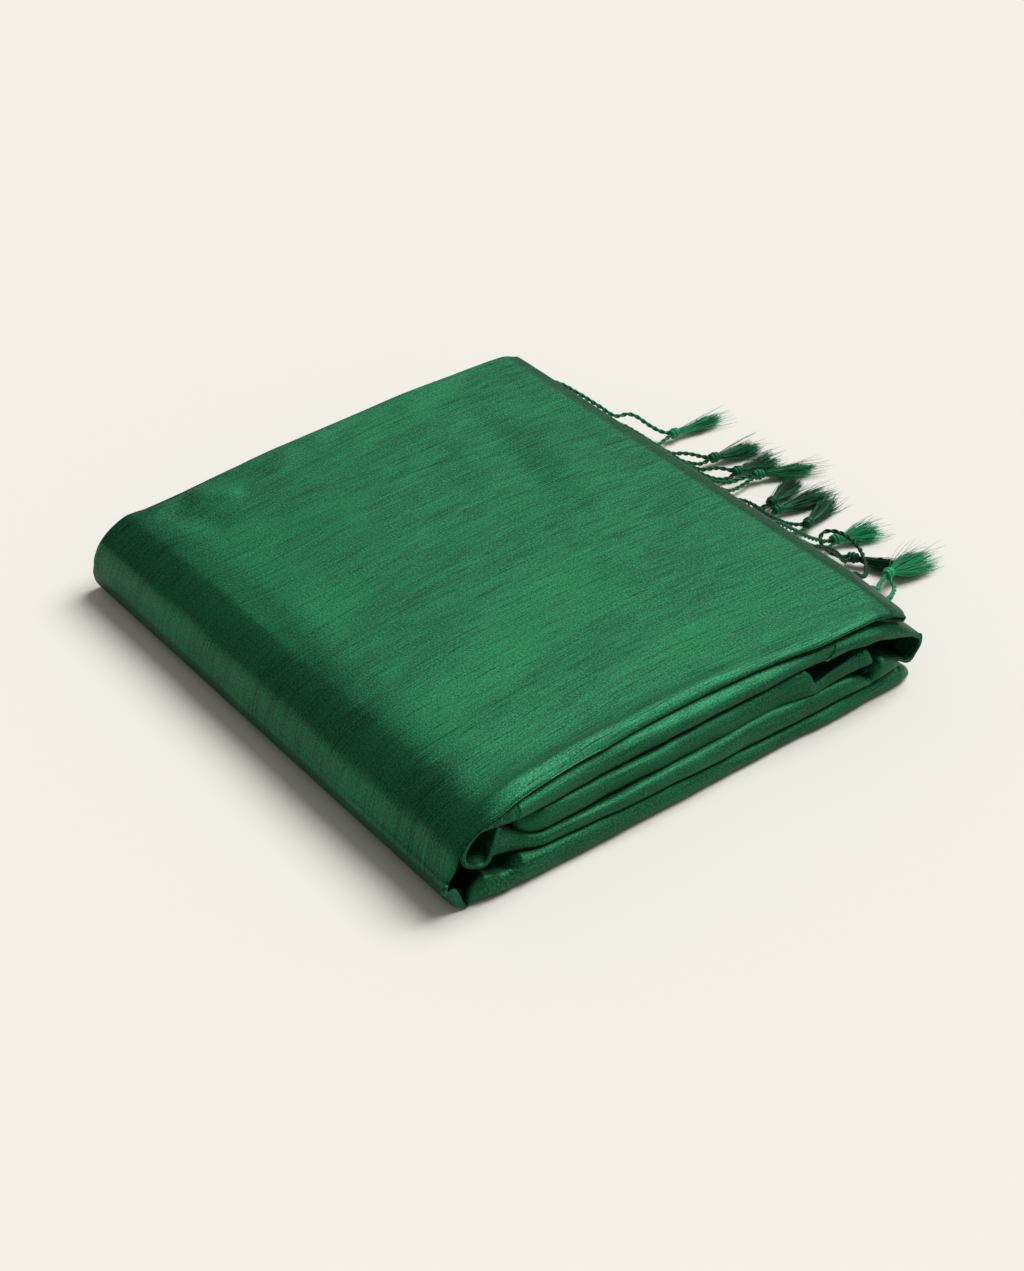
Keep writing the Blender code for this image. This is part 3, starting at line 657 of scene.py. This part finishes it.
xs = stations((-112, -84, 0.8), (-84, 84, 1.5), (84, 116.7, 0.6))
top, bottom = grooves(xs, 3)
RETURN = np.array((
    # x, rise of the top edge, move forward
    (-112, -3, -5),
    (-109, -1, -4.4),
    (-106.4, 5, -4),
    (-104, 9.2, -3.6),
    (-101, 7.8, -3.2),
    (-97, 5.2, -2.8),
    (-92, 2.2, -2),
    (-86, 0.5, -0.8),
    (-78, 0, 0),
    (80, 0, 0),
    (88, -1.2, 0),
    (94, -3.2, -0.4),
    (98.6, -6, -0.8),
    (100.4, -3, -0.4),
    (102, 0.2, 0.4),
    (104.6, 1.4, 0.6),
    (109, 0.4, 0.2),
    (112.6, -1.2, -0.3),
    (116.7, -3.6, -1.2),
))
bend = flow(RETURN[:, 0], RETURN, xs)
inner = fold_over(xs, top + bend[:, 1], bottom, forward=waves(xs, SWELL, 3) + bend[:, 2], crown=0.9)
cloth("return_fold_cloth", inner, FOLD_WALL, fold_silk, ["return_fold"], edge_highlight_silk)

xs = stations((-122.4, -98, 0.6), (-98, 112, 1.5), (112, 126.3, 0.5))
top, bottom = grooves(xs, 4)
top = top - np.interp(xs, (110, 116, 119, 122, 124.5, 126.2), (0, 0.7, 2, 4.2, 6.8, 9.4))
back = np.interp(xs, (112, 118, 121, 124, 126.2), (0, 0.4, 1.2, 2.6, 4.4))
low_leg = np.maximum(bottom, 1.7)
forward = side_at(xs)[:, 7] + waves(xs, SWELL, 4) * 0.6 - back
lowest = fold_over(xs, top, bottom, forward=forward, round_top=1.1, crown=0.8, low_leg=low_leg)
# Left of x -95 the roll opens out: its top becomes a rounded ridge that dips and rises again, and then runs
# down to a point at the floor, where it meets the edge of the outer cloth.
RIDGE = np.array((
    # x, height of the ridge, y of the front
    (-122.4, 0.8, -145.2),
    (-121.6, 2.6, -145.3),
    (-120.4, 5.4, -145.6),
    (-118.9, 8.8, -146),
    (-117.2, 11.3, -146.7),
    (-114.4, 12.7, -147.5),
    (-111, 11.9, -148.1),
    (-107, 10.5, -148.4),
    (-103, 10.1, -148.6),
    (-96, 11.2, -148.8),
))
OPEN_END = np.array((
    # share of the nose from its top, distance behind the front, share of the ridge's height
    (0, 12, 0.76),
    (0.14, 9.6, 0.8),
    (0.28, 7, 0.87),
    (0.4, 4.8, 0.94),
    (0.5, 3.3, 0.99),
    (0.58, 2.2, 1),
    (0.66, 1.1, 0.93),
    (0.76, 0.2, 0.7),
    (0.84, 0, 0.48),
    (0.92, 0.6, 0.24),
    (0.97, 2, 0.1),
    (1, 4.4, 0.05),
))
ridge = flow(RIDGE[:, 0], RIDGE, np.clip(xs, -122.4, -96.0))
shape = flow(OPEN_END[:, 0], OPEN_END, np.linspace(0.0, 1.0, NOSE_POINTS))
blend = between(xs, -95, -104)
blend = (blend**2 * (3.0 - 2.0 * blend))[:, None]
front = lowest[:, NOSE]
front[..., 1] += blend * (ridge[:, 2:3] + shape[:, 1] - front[..., 1])
front[..., 2] += blend * (ridge[:, 1:2] * shape[:, 2] - front[..., 2])
sink_behind(lowest, between(xs, -112, -118), start=2.6, most=12.0)
lowest[..., 2] = np.maximum(lowest[..., 2], 0.5)
cloth("bottom_fold_cloth", lowest, FOLD_WALL, fold_silk, ["bottom_fold"], edge_highlight_silk)


# The turn at the right end: the upper fold's silk doubles back round a soft point. It is only folded, and
# its front edge rolls in like the folds beside it.
END_TURN = np.array((
    # columns as in OUTER_CLOTH, without the last
    (97, 11.6, 97, 11, 97, 13, -138.6, 131),
    (102, 15.8, 102, 13, 102, 16.6, -141.2, 131),
    (106, 17, 106, 14.2, 106, 17.6, -142, 131),
    (112, 16.2, 112, 13.4, 112, 16.8, -142.4, 131),
    (117.9, 14, 118.4, 11.4, 117.9, 14.7, -142.6, 131),
    (121.4, 11.8, 122.6, 10.4, 121.2, 12.6, -142.8, 131),
    (123.8, 11.4, 126, 11.4, 123, 12.2, -142.8, 131),
    (126.2, 13.8, 128.8, 14, 125.4, 14.4, -142.8, 131.5),
    (129, 18, 130.6, 18, 128.2, 18.3, -142.8, 132),
    (129.2, 21.6, 130.6, 21.6, 127.8, 21.2, -142.8, 132),
    (127, 25.2, 129, 25, 125, 22.8, -143, 132),
    (122.6, 29.4, 125.6, 28.4, 120.4, 24.6, -143.4, 132),
    (117.2, 33.2, 120.6, 31.8, 115.3, 26.2, -143.6, 132),
    (110.8, 36.4, 113.6, 35, 109.4, 27.8, -143.6, 132),
    (103.6, 38.4, 105, 37, 103.2, 29.9, -143.6, 132),
    (95, 39.7, 95, 38.2, 94.8, 30.2, -143.4, 132),
    (87.2, 40, 87.2, 38.5, 86.4, 31.6, -142.8, 132),
))
# How its front edge folds in: like a roll where the rim is deep, and hardly at all where it is thin
FOLD_IN_TURN = np.radians(np.linspace(-86.0, 86.0, 15))
behind, up = nose(FOLD_IN_TURN, UPPER_ROUND)
FOLD_IN = np.stack((behind, 0.5 * (1.0 - np.cos(FOLD_IN_TURN) ** 0.8), 0.0 * up, 0.5 - 0.5 * up), 1)
FOLD_IN = np.vstack(((13.0, 1.5, 0.0, 1.0), FOLD_IN, (10.0, 4.0, 0.0, 0.0)))
FOLD_BACK_TURN = (0.6, 0.1)


def seam(top_x, bottom_x, out, y_back):
    """The row of a turned sheet where it carries on from the upper fold, out from it by a little."""
    side = side_at((top_x,))[0]
    top, bottom = side[3] - GROOVE_GAP + out, side[4] + GROOVE_GAP - out
    lean = side[1] + (side[2] - side[1]) * (top + bottom) / (2.0 * SIDE_TOP)
    front = lean - NOSE_OUT - UPPER_OUT - out
    return np.array((top_x, top, top_x, top, bottom_x, bottom, front, y_back))


END_TURN = np.vstack((END_TURN, seam(79.0, 73.5, 0.12, 132.0)))
columns = spread(np.array((0.0, 0.1, 1.0)), np.array((0.006, 0.02, 0.03)))[1:-1]
end_turn = turned_loft(END_TURN, np.full(len(END_TURN), 0.8), columns, FOLD_IN, FOLD_BACK_TURN)
cloth("end_turn_cloth", end_turn, FOLD_WALL, fold_silk, ["end_turn"], edge_highlight_silk)


# The small loop inside the left turn: the upper fold's silk doubles back on itself there and stays open,
# held by the outer cloth that goes round it.
LEFT_LOOP = np.array((
    # columns as in OUTER_CLOTH, without the last two
    (-104, 39.3, -104, 38, -104, 31.3, -145),
    (-110, 38.4, -110, 36.6, -111, 33, -145.2),
    (-115.6, 36.6, -115, 34.2, -115.6, 33.6, -145.2),
    (-120, 33.4, -118.8, 31.2, -118.6, 31.8, -145),
    (-123, 29.6, -120.6, 29.4, -120.6, 29.2, -145),
    (-124.4, 26.4, -121.4, 27.6, -122.4, 26.6, -145.4),
    (-123.4, 23.2, -120.6, 26.4, -122.2, 24, -146),
    (-119.6, 20.5, -118, 25.6, -119, 21.4, -146.6),
    (-114.8, 19, -114, 25.2, -114.6, 20.4, -147),
    (-111, 20.2, -110.4, 25.6, -112.2, 22.2, -146.6),
    (-108.4, 22.8, -108, 26.4, -110.4, 24.6, -146),
    (-106.6, 26, -106.4, 27.8, -108.6, 27.4, -145.4),
    (-105.6, 29.2, -105, 29.6, -107.6, 30, -145),
    (-105, 31.8, -104.4, 31.4, -106.6, 32, -144.6),
))
LOOP_BACK = -78.0
LEFT_LOOP = np.vstack((seam(-96.0, -96.0, 0.0, LOOP_BACK), np.insert(LEFT_LOOP, 7, LOOP_BACK, axis=1)))
columns = np.linspace(0.0, 1.0, 14)[1:-1]
loop = turned_loft(LEFT_LOOP, np.full(len(LEFT_LOOP), 0.7), columns, FOLD_IN, FOLD_BACK_TURN)
cloth("left_loop_cloth", loop, FOLD_WALL, fold_silk, ["left_loop"], edge_highlight_silk)


# The end border, under the top sheet: the same silk, whose cut edge is turned under and hemmed. It carries
# the tassels.
BORDER = np.array((
    # x, upper z of the border, from inside the pile to its edge, and back under the hem
    (90, 41),
    (98, 40.7),
    (104, 40.2),
    (109, 39.4),
    (113, 38.4),
    (116.4, 37.2),
    (117.5, 36.5),
    (117, 35.9),
    (114, 36.5),
    (110.5, 37.6),
))
BORDER_FRONT, BORDER_BACK, BORDER_WALL = -118.0, 128.0, 0.6
knots = distance_along(BORDER)
section = flow(knots, BORDER, spread(knots, np.full(len(BORDER), 0.8)))
ys = np.linspace(BORDER_FRONT, BORDER_BACK, 110)
hang = between(section[:, :1], 100, 117)
# Its free edge hangs in slow waves along y.
x = section[:, :1] + hang * waves(ys, ((0.35, 21, 0), (0.2, 8, 1)))
z = section[:, 1:] + hang * waves(ys, ((0.4, 33, 2), (0.15, 9, 0)))
border = np.stack(np.broadcast_arrays(x, ys, z), -1)
cloth("end_border", border, BORDER_WALL, fold_silk, ["pallu_end"])


# The hidden layers: the rest of the 5.5 m of silk, folded to and fro. Only their edges show, at the back
# and at the right end, where each layer's fold stands out a little more or less than the next.
LAYERS_LEFT, LAYERS_FLOOR, LAYER_COUNT, LAYER_EDGE, LAYER_WAVE = -118.0, 1.3, 16, 1.5, 0.014
LAYER_OUT = np.array((-1.0, 0.2, 0.5, -0.6, -1.6, 0.4, 0.9, -0.2, -1.2, 0.6, 0.1, -0.9, -1.8, 0.3, 0.8, -0.4))
# How far the front left corner is cut away, along the front and along the left
HOLLOW_ALONG, HOLLOW_BACK = 22.0, 66.0
# Room left under the outer cloth, the extra room near its right end, and the room inside the left turn
TOP_ROOM, RIGHT_ROOM, LEFT_ROOM = 2.0, 3.6, 3.2


def rounded_outline(left, right, front, back, corner, spacing):
    """Places and outward directions round a rectangle whose two back corners are quarter circles. Its front
    left corner is cut away, where the left turn is hollow."""
    bend = np.linspace(0.0, np.pi / 2.0, 9)
    up = np.linspace(front + HOLLOW_BACK, back - corner, 60)
    side_left = np.stack(np.broadcast_arrays(left, up), 1)
    near, far = corner * (1 - np.cos(bend)), corner * (1 - np.sin(bend))
    turn_left = np.stack((left + near, back - far), 1)
    across = np.arange(left + corner + spacing, right - corner, spacing)
    side_back = np.stack(np.broadcast_arrays(across, back), 1)
    turn_right = np.stack((right - far, back - near), 1)
    down = np.arange(back - corner - spacing, front, -spacing)
    side_right = np.stack(np.broadcast_arrays(right, down), 1)
    side_front = np.stack(np.broadcast_arrays(np.linspace(right, left + HOLLOW_ALONG, 60), front), 1)
    recess = np.linspace((left + HOLLOW_ALONG, front), (left, front + HOLLOW_BACK), 30)[1:-1]
    ring = np.concatenate((side_left, turn_left[1:], side_back, turn_right, side_right, side_front, recess))
    ahead = np.roll(ring, -1, axis=0) - np.roll(ring, 1, axis=0)
    return ring, unit(np.stack((-ahead[:, 1], ahead[:, 0]), 1))


ring, outward = rounded_outline(LAYERS_LEFT, right=112.6, front=-120.8, back=136.6, corner=7.0, spacing=1.6)
# The layers part at the back and at the right end alone.
shown = np.minimum(between(ring[:, 1], 128, 134) + between(ring[:, 0], 108, 111), 1.0)
within = np.array((0.0, 0.05, 0.16, 0.32, 0.5, 0.68, 0.84, 0.95))
layer = np.repeat(np.arange(LAYER_COUNT), len(within))
part = np.tile(within, LAYER_COUNT)
walk = distance_along(ring)
rise = (layer + part)[:, None] / LAYER_COUNT
rise = rise + LAYER_WAVE * np.sin(np.pi * rise) * np.sin(walk / 31.0 + 5.0 * rise) * shown
# The pile's top keeps just under the outer cloth, and its left end inside the turn.
top_rows, left_rows = OUTER_CLOTH[3:24][::-1], OUTER_CLOTH[14:27][::-1]
top_front = np.interp(ring[:, 0], top_rows[:, 0], top_rows[:, 1])
top_back = np.interp(ring[:, 0], top_rows[:, 2], top_rows[:, 3])
ceiling = top_front + (top_back - top_front) * between(ring[:, 1], -140, 138)
ceiling -= TOP_ROOM + RIGHT_ROOM * between(ring[:, 0], 84, 96)
height = LAYERS_FLOOR + rise * (ceiling - LAYERS_FLOOR)
edge = LAYER_EDGE * (np.sqrt(1.0 - (2.0 * part - 1.0) ** 2) - 1.0) + LAYER_OUT[layer]
wander = waves(walk, ((0.55, 43, 2.1), (0.35, 13, 1.3)), layer[:, None])
relief = shown * (edge[:, None] + wander)
nest_x = np.interp(height, left_rows[:, 3], left_rows[:, 2] + LEFT_ROOM)
nested = between(ring[:, 0], -96, -114)
x = ring[:, 0] + nested * (nest_x - LAYERS_LEFT) + outward[:, 0] * relief
layers = np.stack((x, ring[:, 1] + outward[:, 1] * relief, height), -1)
index = np.arange(height.size).reshape(height.shape)
beside = np.roll(index, -1, axis=1)
quads = np.stack((index[:-1], index[1:], beside[1:], beside[:-1]), -1).reshape(-1, 4)
lids = [index[0].tolist(), index[-1][::-1].tolist()]
weave = np.stack(np.broadcast_arrays(walk, height), -1)
folded_layers = laid_out("folded_layers", layers, quads.tolist() + lids, fold_silk, weave)
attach(folded_layers, "root")
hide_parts("inner_layers")


# Ten tassels hang from the end border. In each, two cords of two twisted yarns run down to a wrapped knot,
# and past it the yarn is left loose as a tuft of fine strands that lies on the floor.
YARN, CORD_TWIST, CORD_SPREAD, CORD_STEP = 0.62, 7.4, 0.52, 0.62
KNOT_LENGTH, KNOT_RADIUS, KNOT_TURNS, KNOT_YARN = 4.6, 1.75, 2.6, 1.05
STRANDS, WISPS, LOCKS, STRAND, STRAND_PLACES, STRAND_SIDES = 440, 34, 9, 0.19, 9, 3
CORD_START_X, CORD_START_Z = 117.2, 36.4
TUFT_START, TUFT_TIP_Z, FLOOR_CLEARANCE, FLOOR_SOFTNESS = 2.0, 2.6, 0.45, 1.6
TASSELS = (
    # knot, tip and half width of the tuft, tone (0 dark, 1 bright), and two cords: y at the border, and route
    ((173.8, 76.2, 4.6), (204, 76.5), 3.2, 0.85,
     (114, (124, 111, 35.8), (134, 104.5, 29), (143, 98, 21), (150, 93.2, 15.2), (156.2, 91, 15.2),
      (159.4, 89, 13.6), (162.2, 86.6, 10.9), (165.1, 84.2, 8.1), (168.6, 80.4, 5.6)),
     (68, (123, 68.5, 34.5), (134, 70.5, 26), (146, 72.3, 14), (154, 73.2, 7), (161.7, 73.6, 3.8),
      (167, 74.8, 4.2))),
    ((174.3, 46.2, 4.8), (200.8, 43), 4.5, 0.42,
     (64, (124, 62.5, 35), (135, 58.5, 27), (145, 55, 17.5), (153.1, 52.6, 11.8), (158, 51.7, 10.6),
      (163.9, 50.2, 8.4), (168.3, 48.6, 6.3)),
     (56.5, (124, 55.5, 35), (136, 53, 26), (147, 50.8, 15.5), (154.6, 49.2, 9), (159.7, 48.1, 6.2),
      (165.6, 46.8, 4))),
    ((175.1, 30, 4.6), (200.4, 29.6), 4.2, 0.36,
     (51.5, (124, 49, 35), (136, 43.6, 26), (148, 39, 15.5), (157.9, 36.4, 8.8), (161.4, 35.7, 8.2),
      (166.6, 34.7, 7.2), (170.6, 32.5, 6)),
     (44.5, (124, 43, 35), (136, 40, 26), (148, 37, 15), (157.3, 33.6, 7), (165.4, 31, 3),
      (170, 29.6, 2.8))),
    ((181.2, 21.2, 4.6), (209, 11.8), 3.8, 0.62,
     (37, (124, 35.5, 35), (136, 31.8, 25), (148, 28.6, 13.5), (158.9, 25.7, 6.6), (165.7, 24.6, 4.4),
      (173.2, 23.4, 4.6)),
     (14, (124, 14.2, 35), (136, 15, 25), (148, 16.3, 13.5), (159.7, 17.7, 5.2), (166.8, 19.3, 3.6),
      (174.9, 20.4, 4))),
    ((169.2, -2, 5.2), (194.7, 7.7), 4.5, 0.16,
     (6, (124, 5.6, 34.5), (136, 4.5, 24), (148, 2.6, 12), (157, 0.4, 4.4), (163, -1, 3.4)),
     (-4, (124, -4, 34.5), (136, -3.9, 24), (148, -3.7, 12.4), (157, -3.5, 5.4), (163.5, -3.4, 4.4))),
    ((167.6, -8.2, 4.6), (198.6, -10), 4.6, 0.45,
     (-10.5, (124, -10.4, 34.5), (136, -10, 24), (148, -9.4, 12), (156, -9, 4.8), (162, -8.6, 3.6)),
     (-18, (124, -17.4, 34.5), (136, -15.6, 24), (148, -13.4, 12), (156, -11.8, 5), (162, -10.2, 3.6))),
    ((170.9, -26, 4.8), (194.6, -16.4), 3.6, 0.26,
     (-25, (124, -25.2, 35.4), (136, -25.5, 27.5), (143, -25.4, 20.5), (150.8, -25.3, 14.2),
      (156.3, -25.1, 10), (162, -24.9, 6.8), (166, -25.2, 5.2)),
     (-42, (124, -40.8, 34.5), (136, -37.4, 24.5), (148, -33.8, 13), (156, -31.4, 7), (162.3, -29.4, 4.3),
      (166.7, -27.6, 3.8))),
    ((171.8, -44.4, 4.6), (195, -49.6), 5, 0.78,
     (-50, (124, -49.8, 35.6), (136, -48.4, 27.5), (144.7, -47.3, 20.5), (150, -46.4, 16),
      (154.3, -45.8, 12.8), (160.4, -44.9, 8.8), (166.5, -44.2, 5.4)),
     (-70, (124, -68, 34.8), (134, -63.5, 27), (144, -58, 18.6), (152.5, -53.4, 11.8), (158, -50, 7.8),
      (162.5, -47.8, 5.2), (168, -46, 4))),
    # The ninth tassel lies under the tenth: its near-black tone is painted shade.
    ((167.6, -60.6, 4.4), (181, -80), 3.4, 0.04,
     (-77, (124, -76, 35.8), (134, -73.5, 30.6), (141, -71.5, 25.5), (147.4, -69.3, 19.8),
      (153, -66.6, 13.6), (158, -63.8, 8.4), (162, -61.8, 5.2)),
     (-104, (126, -101, 34), (136, -96, 26), (146, -89, 18), (155, -81.5, 11.6), (162, -75, 8.6),
      (167.6, -67.6, 8), (171.4, -59.6, 8.4), (172.4, -52, 9.2), (170.4, -45.4, 10), (166, -42.4, 10),
      (161.4, -44.2, 9.2), (159.2, -49.6, 7.8), (160.4, -55.6, 6.2))),
    ((167.4, -84, 8.2), (197.2, -79.6), 7, 1,
     (-116, (124, -114, 34.2), (134, -108, 26.4), (143.4, -100.6, 18.8), (150.4, -94.4, 13),
      (156.4, -89.6, 9.8), (161.4, -86.6, 8.6)),
     (-128, (126, -124, 33.5), (136, -116, 25.5), (145, -107, 16), (152.4, -100.6, 10.4),
      (158.6, -96.4, 7.8), (163.2, -92.4, 6.8), (165.6, -88, 6.8))),
)


def spun(name, roughness):
    """Shiny spun yarn. Its shade attribute goes from the dark yarn to the bright."""
    made, tree, shader = new_material(name, Roughness=roughness, Specular_IOR_Level=0.2)
    shade = tree.nodes.new("ShaderNodeAttribute")
    shade.attribute_name = "shade"
    ramp = tree.nodes.new("ShaderNodeValToRGB")
    ramp.color_ramp.elements[0].color = (0.002, 0.022, 0.011, 1.0)
    ramp.color_ramp.elements[1].color = (0.028, 0.46, 0.19, 1.0)
    middle = ramp.color_ramp.elements.new(0.5)
    middle.color = (0.005, 0.14, 0.054, 1.0)
    tree.links.new(shade.outputs["Fac"], ramp.inputs["Fac"])
    tree.links.new(ramp.outputs["Color"], shader.inputs["Base Color"])
    return made


def tubes(points, side, radius, sides):
    """Rings round one or more paths: at each point, a circle in the plane of side and of side x direction.

    points is (paths, places, 3). Returns the corners and the faces.
    """
    ahead = unit(np.gradient(points, axis=1))
    side = unit(side - ahead * (side * ahead).sum(-1, keepdims=True))
    other = np.cross(ahead, side)
    turn = np.arange(sides) * 2.0 * np.pi / sides
    wheel = side[..., None, :] * np.cos(turn)[:, None] + other[..., None, :] * np.sin(turn)[:, None]
    corners = points[..., None, :] + wheel * np.broadcast_to(radius, points.shape[:2])[..., None, None]
    count = np.arange(corners[..., 0].size).reshape(corners.shape[:3])
    after = np.roll(count, -1, axis=2)
    walls = np.stack((count[:, :-1], after[:, :-1], after[:, 1:], count[:, 1:]), -1).reshape(-1, 4)
    ends = count[:, 0, ::-1].tolist() + count[:, -1].tolist()
    return corners.reshape(-1, 3), walls.tolist() + ends


def level_side(points):
    """Level directions square to a path, as the side of its tube."""
    ahead = np.gradient(points, axis=-2)
    return unit(np.stack((-ahead[..., 1], ahead[..., 0], np.zeros(ahead.shape[:-1])), -1))


def twisted(route):
    """Two yarns that wind round a smooth route, each on the far side of it from the other."""
    route = np.array(route, float)
    knots = distance_along(route)
    path = flow(knots, route, np.linspace(0.0, knots[-1], int(knots[-1] / CORD_STEP)))
    along = distance_along(path)[:, None]
    side = level_side(path)
    other = np.cross(unit(np.gradient(path, axis=0)), side)
    turn = 2.0 * np.pi * along / CORD_TWIST
    reach = CORD_SPREAD * (side * np.cos(turn) + other * np.sin(turn))
    plies = np.stack((path + reach, path - reach))
    return tubes(plies, np.stack((reach, -reach)) + 1e-6, YARN, 6)


yarn = spun("tassel_yarn", 0.42)
for number, (knot, tip, half_width, tone, *cords) in enumerate(TASSELS, 1):
    chance = np.random.default_rng(40 + number)
    knot = np.array(knot)
    level = np.array((*tip, TUFT_TIP_Z)) - knot
    length = np.linalg.norm(level)
    axis = level / length
    side = np.array((-axis[1], axis[0], 0.0)) / np.hypot(axis[0], axis[1])
    up = np.cross(axis, side)
    pieces = [
        (twisted(((CORD_START_X, start, CORD_START_Z), *route, knot - axis)), tone * 0.55 + 0.12)
        for start, *route in cords
    ]

    # The knot is one turn of yarn laid beside the next over a plump heart.
    turn = np.linspace(0.0, 2.0 * np.pi * KNOT_TURNS, 60)
    share = np.linspace(-1.0, 1.0, 60)
    round_knot = KNOT_RADIUS * np.sqrt(1.0 - 0.55 * share**2)
    spoke = side * np.cos(turn)[:, None] + up * np.sin(turn)[:, None]
    coil = knot + axis * (share * KNOT_LENGTH / 2.0)[:, None] + spoke * round_knot[:, None]
    pieces.append((tubes(coil[None], spoke[None], KNOT_YARN, 8), tone * 0.7 + 0.12))
    heart = knot + axis * np.linspace(-2.6, 3.2, 9)[:, None]
    plump = np.array((0.6, 1.5, 2.0, 2.1, 2.1, 2.1, 2.0, 1.8, 1.2))
    pieces.append((tubes(heart[None], np.tile(side, (1, 9, 1)), plump, 10), tone * 0.5))

    # The tuft opens from the knot like a brush. It parts into locks, and each strand wavers in its lock.
    count = STRANDS + WISPS
    wisp = np.arange(count) >= STRANDS
    t = np.linspace(0.0, 1.0, STRAND_PLACES)[None, :]
    turn = chance.random(count) * 2.0 * np.pi
    lock = np.floor(turn / (2.0 * np.pi) * LOCKS).astype(int)
    lock_aside, lock_above = chance.normal(0.0, 1.0, LOCKS)[lock], chance.normal(0.0, 0.6, LOCKS)[lock]
    lock_length, lock_tone = chance.uniform(-0.1, 0.1, LOCKS)[lock], chance.normal(0.0, 0.13, LOCKS)[lock]
    place = np.sqrt(chance.random(count))
    place = np.where(wisp, place * 1.3 + 0.5, place)[:, None]
    reach = np.where(wisp, chance.uniform(1.0, 1.3, count), 0.52 + 0.48 * chance.random(count) ** 0.7)
    reach = (length - TUFT_START) * (reach + lock_length)
    open_out = 1.0 + (half_width - 1.0) * np.sin(np.clip(t * 1.05, 0.0, 1.0) * np.pi / 2.0)
    looser = np.where(wisp, 2.4, 1.0)
    sway = (lock_aside + chance.normal(0.0, 0.8, count) * looser)[:, None]
    rock = (lock_above + chance.normal(0.0, 0.6, count) * looser)[:, None]
    phase = chance.random((count, 1)) * 6.3
    aside = place * open_out * np.cos(turn)[:, None] + sway * t**2 + 0.3 * t * np.sin(5.0 * t + phase)
    above = 0.6 * place * open_out * np.sin(turn)[:, None] + rock * t**2 + 0.3 * t * np.cos(4.0 * t + phase)
    strands = (
        knot
        + axis * (TUFT_START + reach[:, None] * t)[..., None]
        + side * aside[..., None]
        + up * (above - 0.4 * np.sin(np.pi * t))[..., None]
    )
    # Towards the floor the strands level out, and none goes under it.
    over_floor = (strands[..., 2] - FLOOR_CLEARANCE) * FLOOR_SOFTNESS
    strands[..., 2] = FLOOR_CLEARANCE + np.logaddexp(0.0, over_floor) / FLOOR_SOFTNESS
    thin = STRAND * (1.0 - 0.75 * t**3) * np.where(wisp, 0.6, 1.0)[:, None]
    shades = np.clip(tone + lock_tone + 0.32 * chance.standard_normal(count), 0.0, 1.2)
    rings = tubes(strands, level_side(strands), thin, STRAND_SIDES)
    pieces.append((rings, np.repeat(shades, STRAND_PLACES * STRAND_SIDES)))

    verts, faces, shade, first = [], [], [], 0
    for (corners, walls), value in pieces:
        verts.append(corners)
        faces.extend([[first + corner for corner in face] for face in walls])
        shade.append(np.broadcast_to(value, len(corners)))
        first += len(corners)
    tassel = laid_out(f"tassel_{number:02d}_yarn", np.concatenate(verts), faces, yarn)
    tassel.data.attributes.new("shade", "FLOAT", "POINT").data.foreach_set("value", np.concatenate(shade))
    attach(tassel, "root")
    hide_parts(f"tassel_{number:02d}")
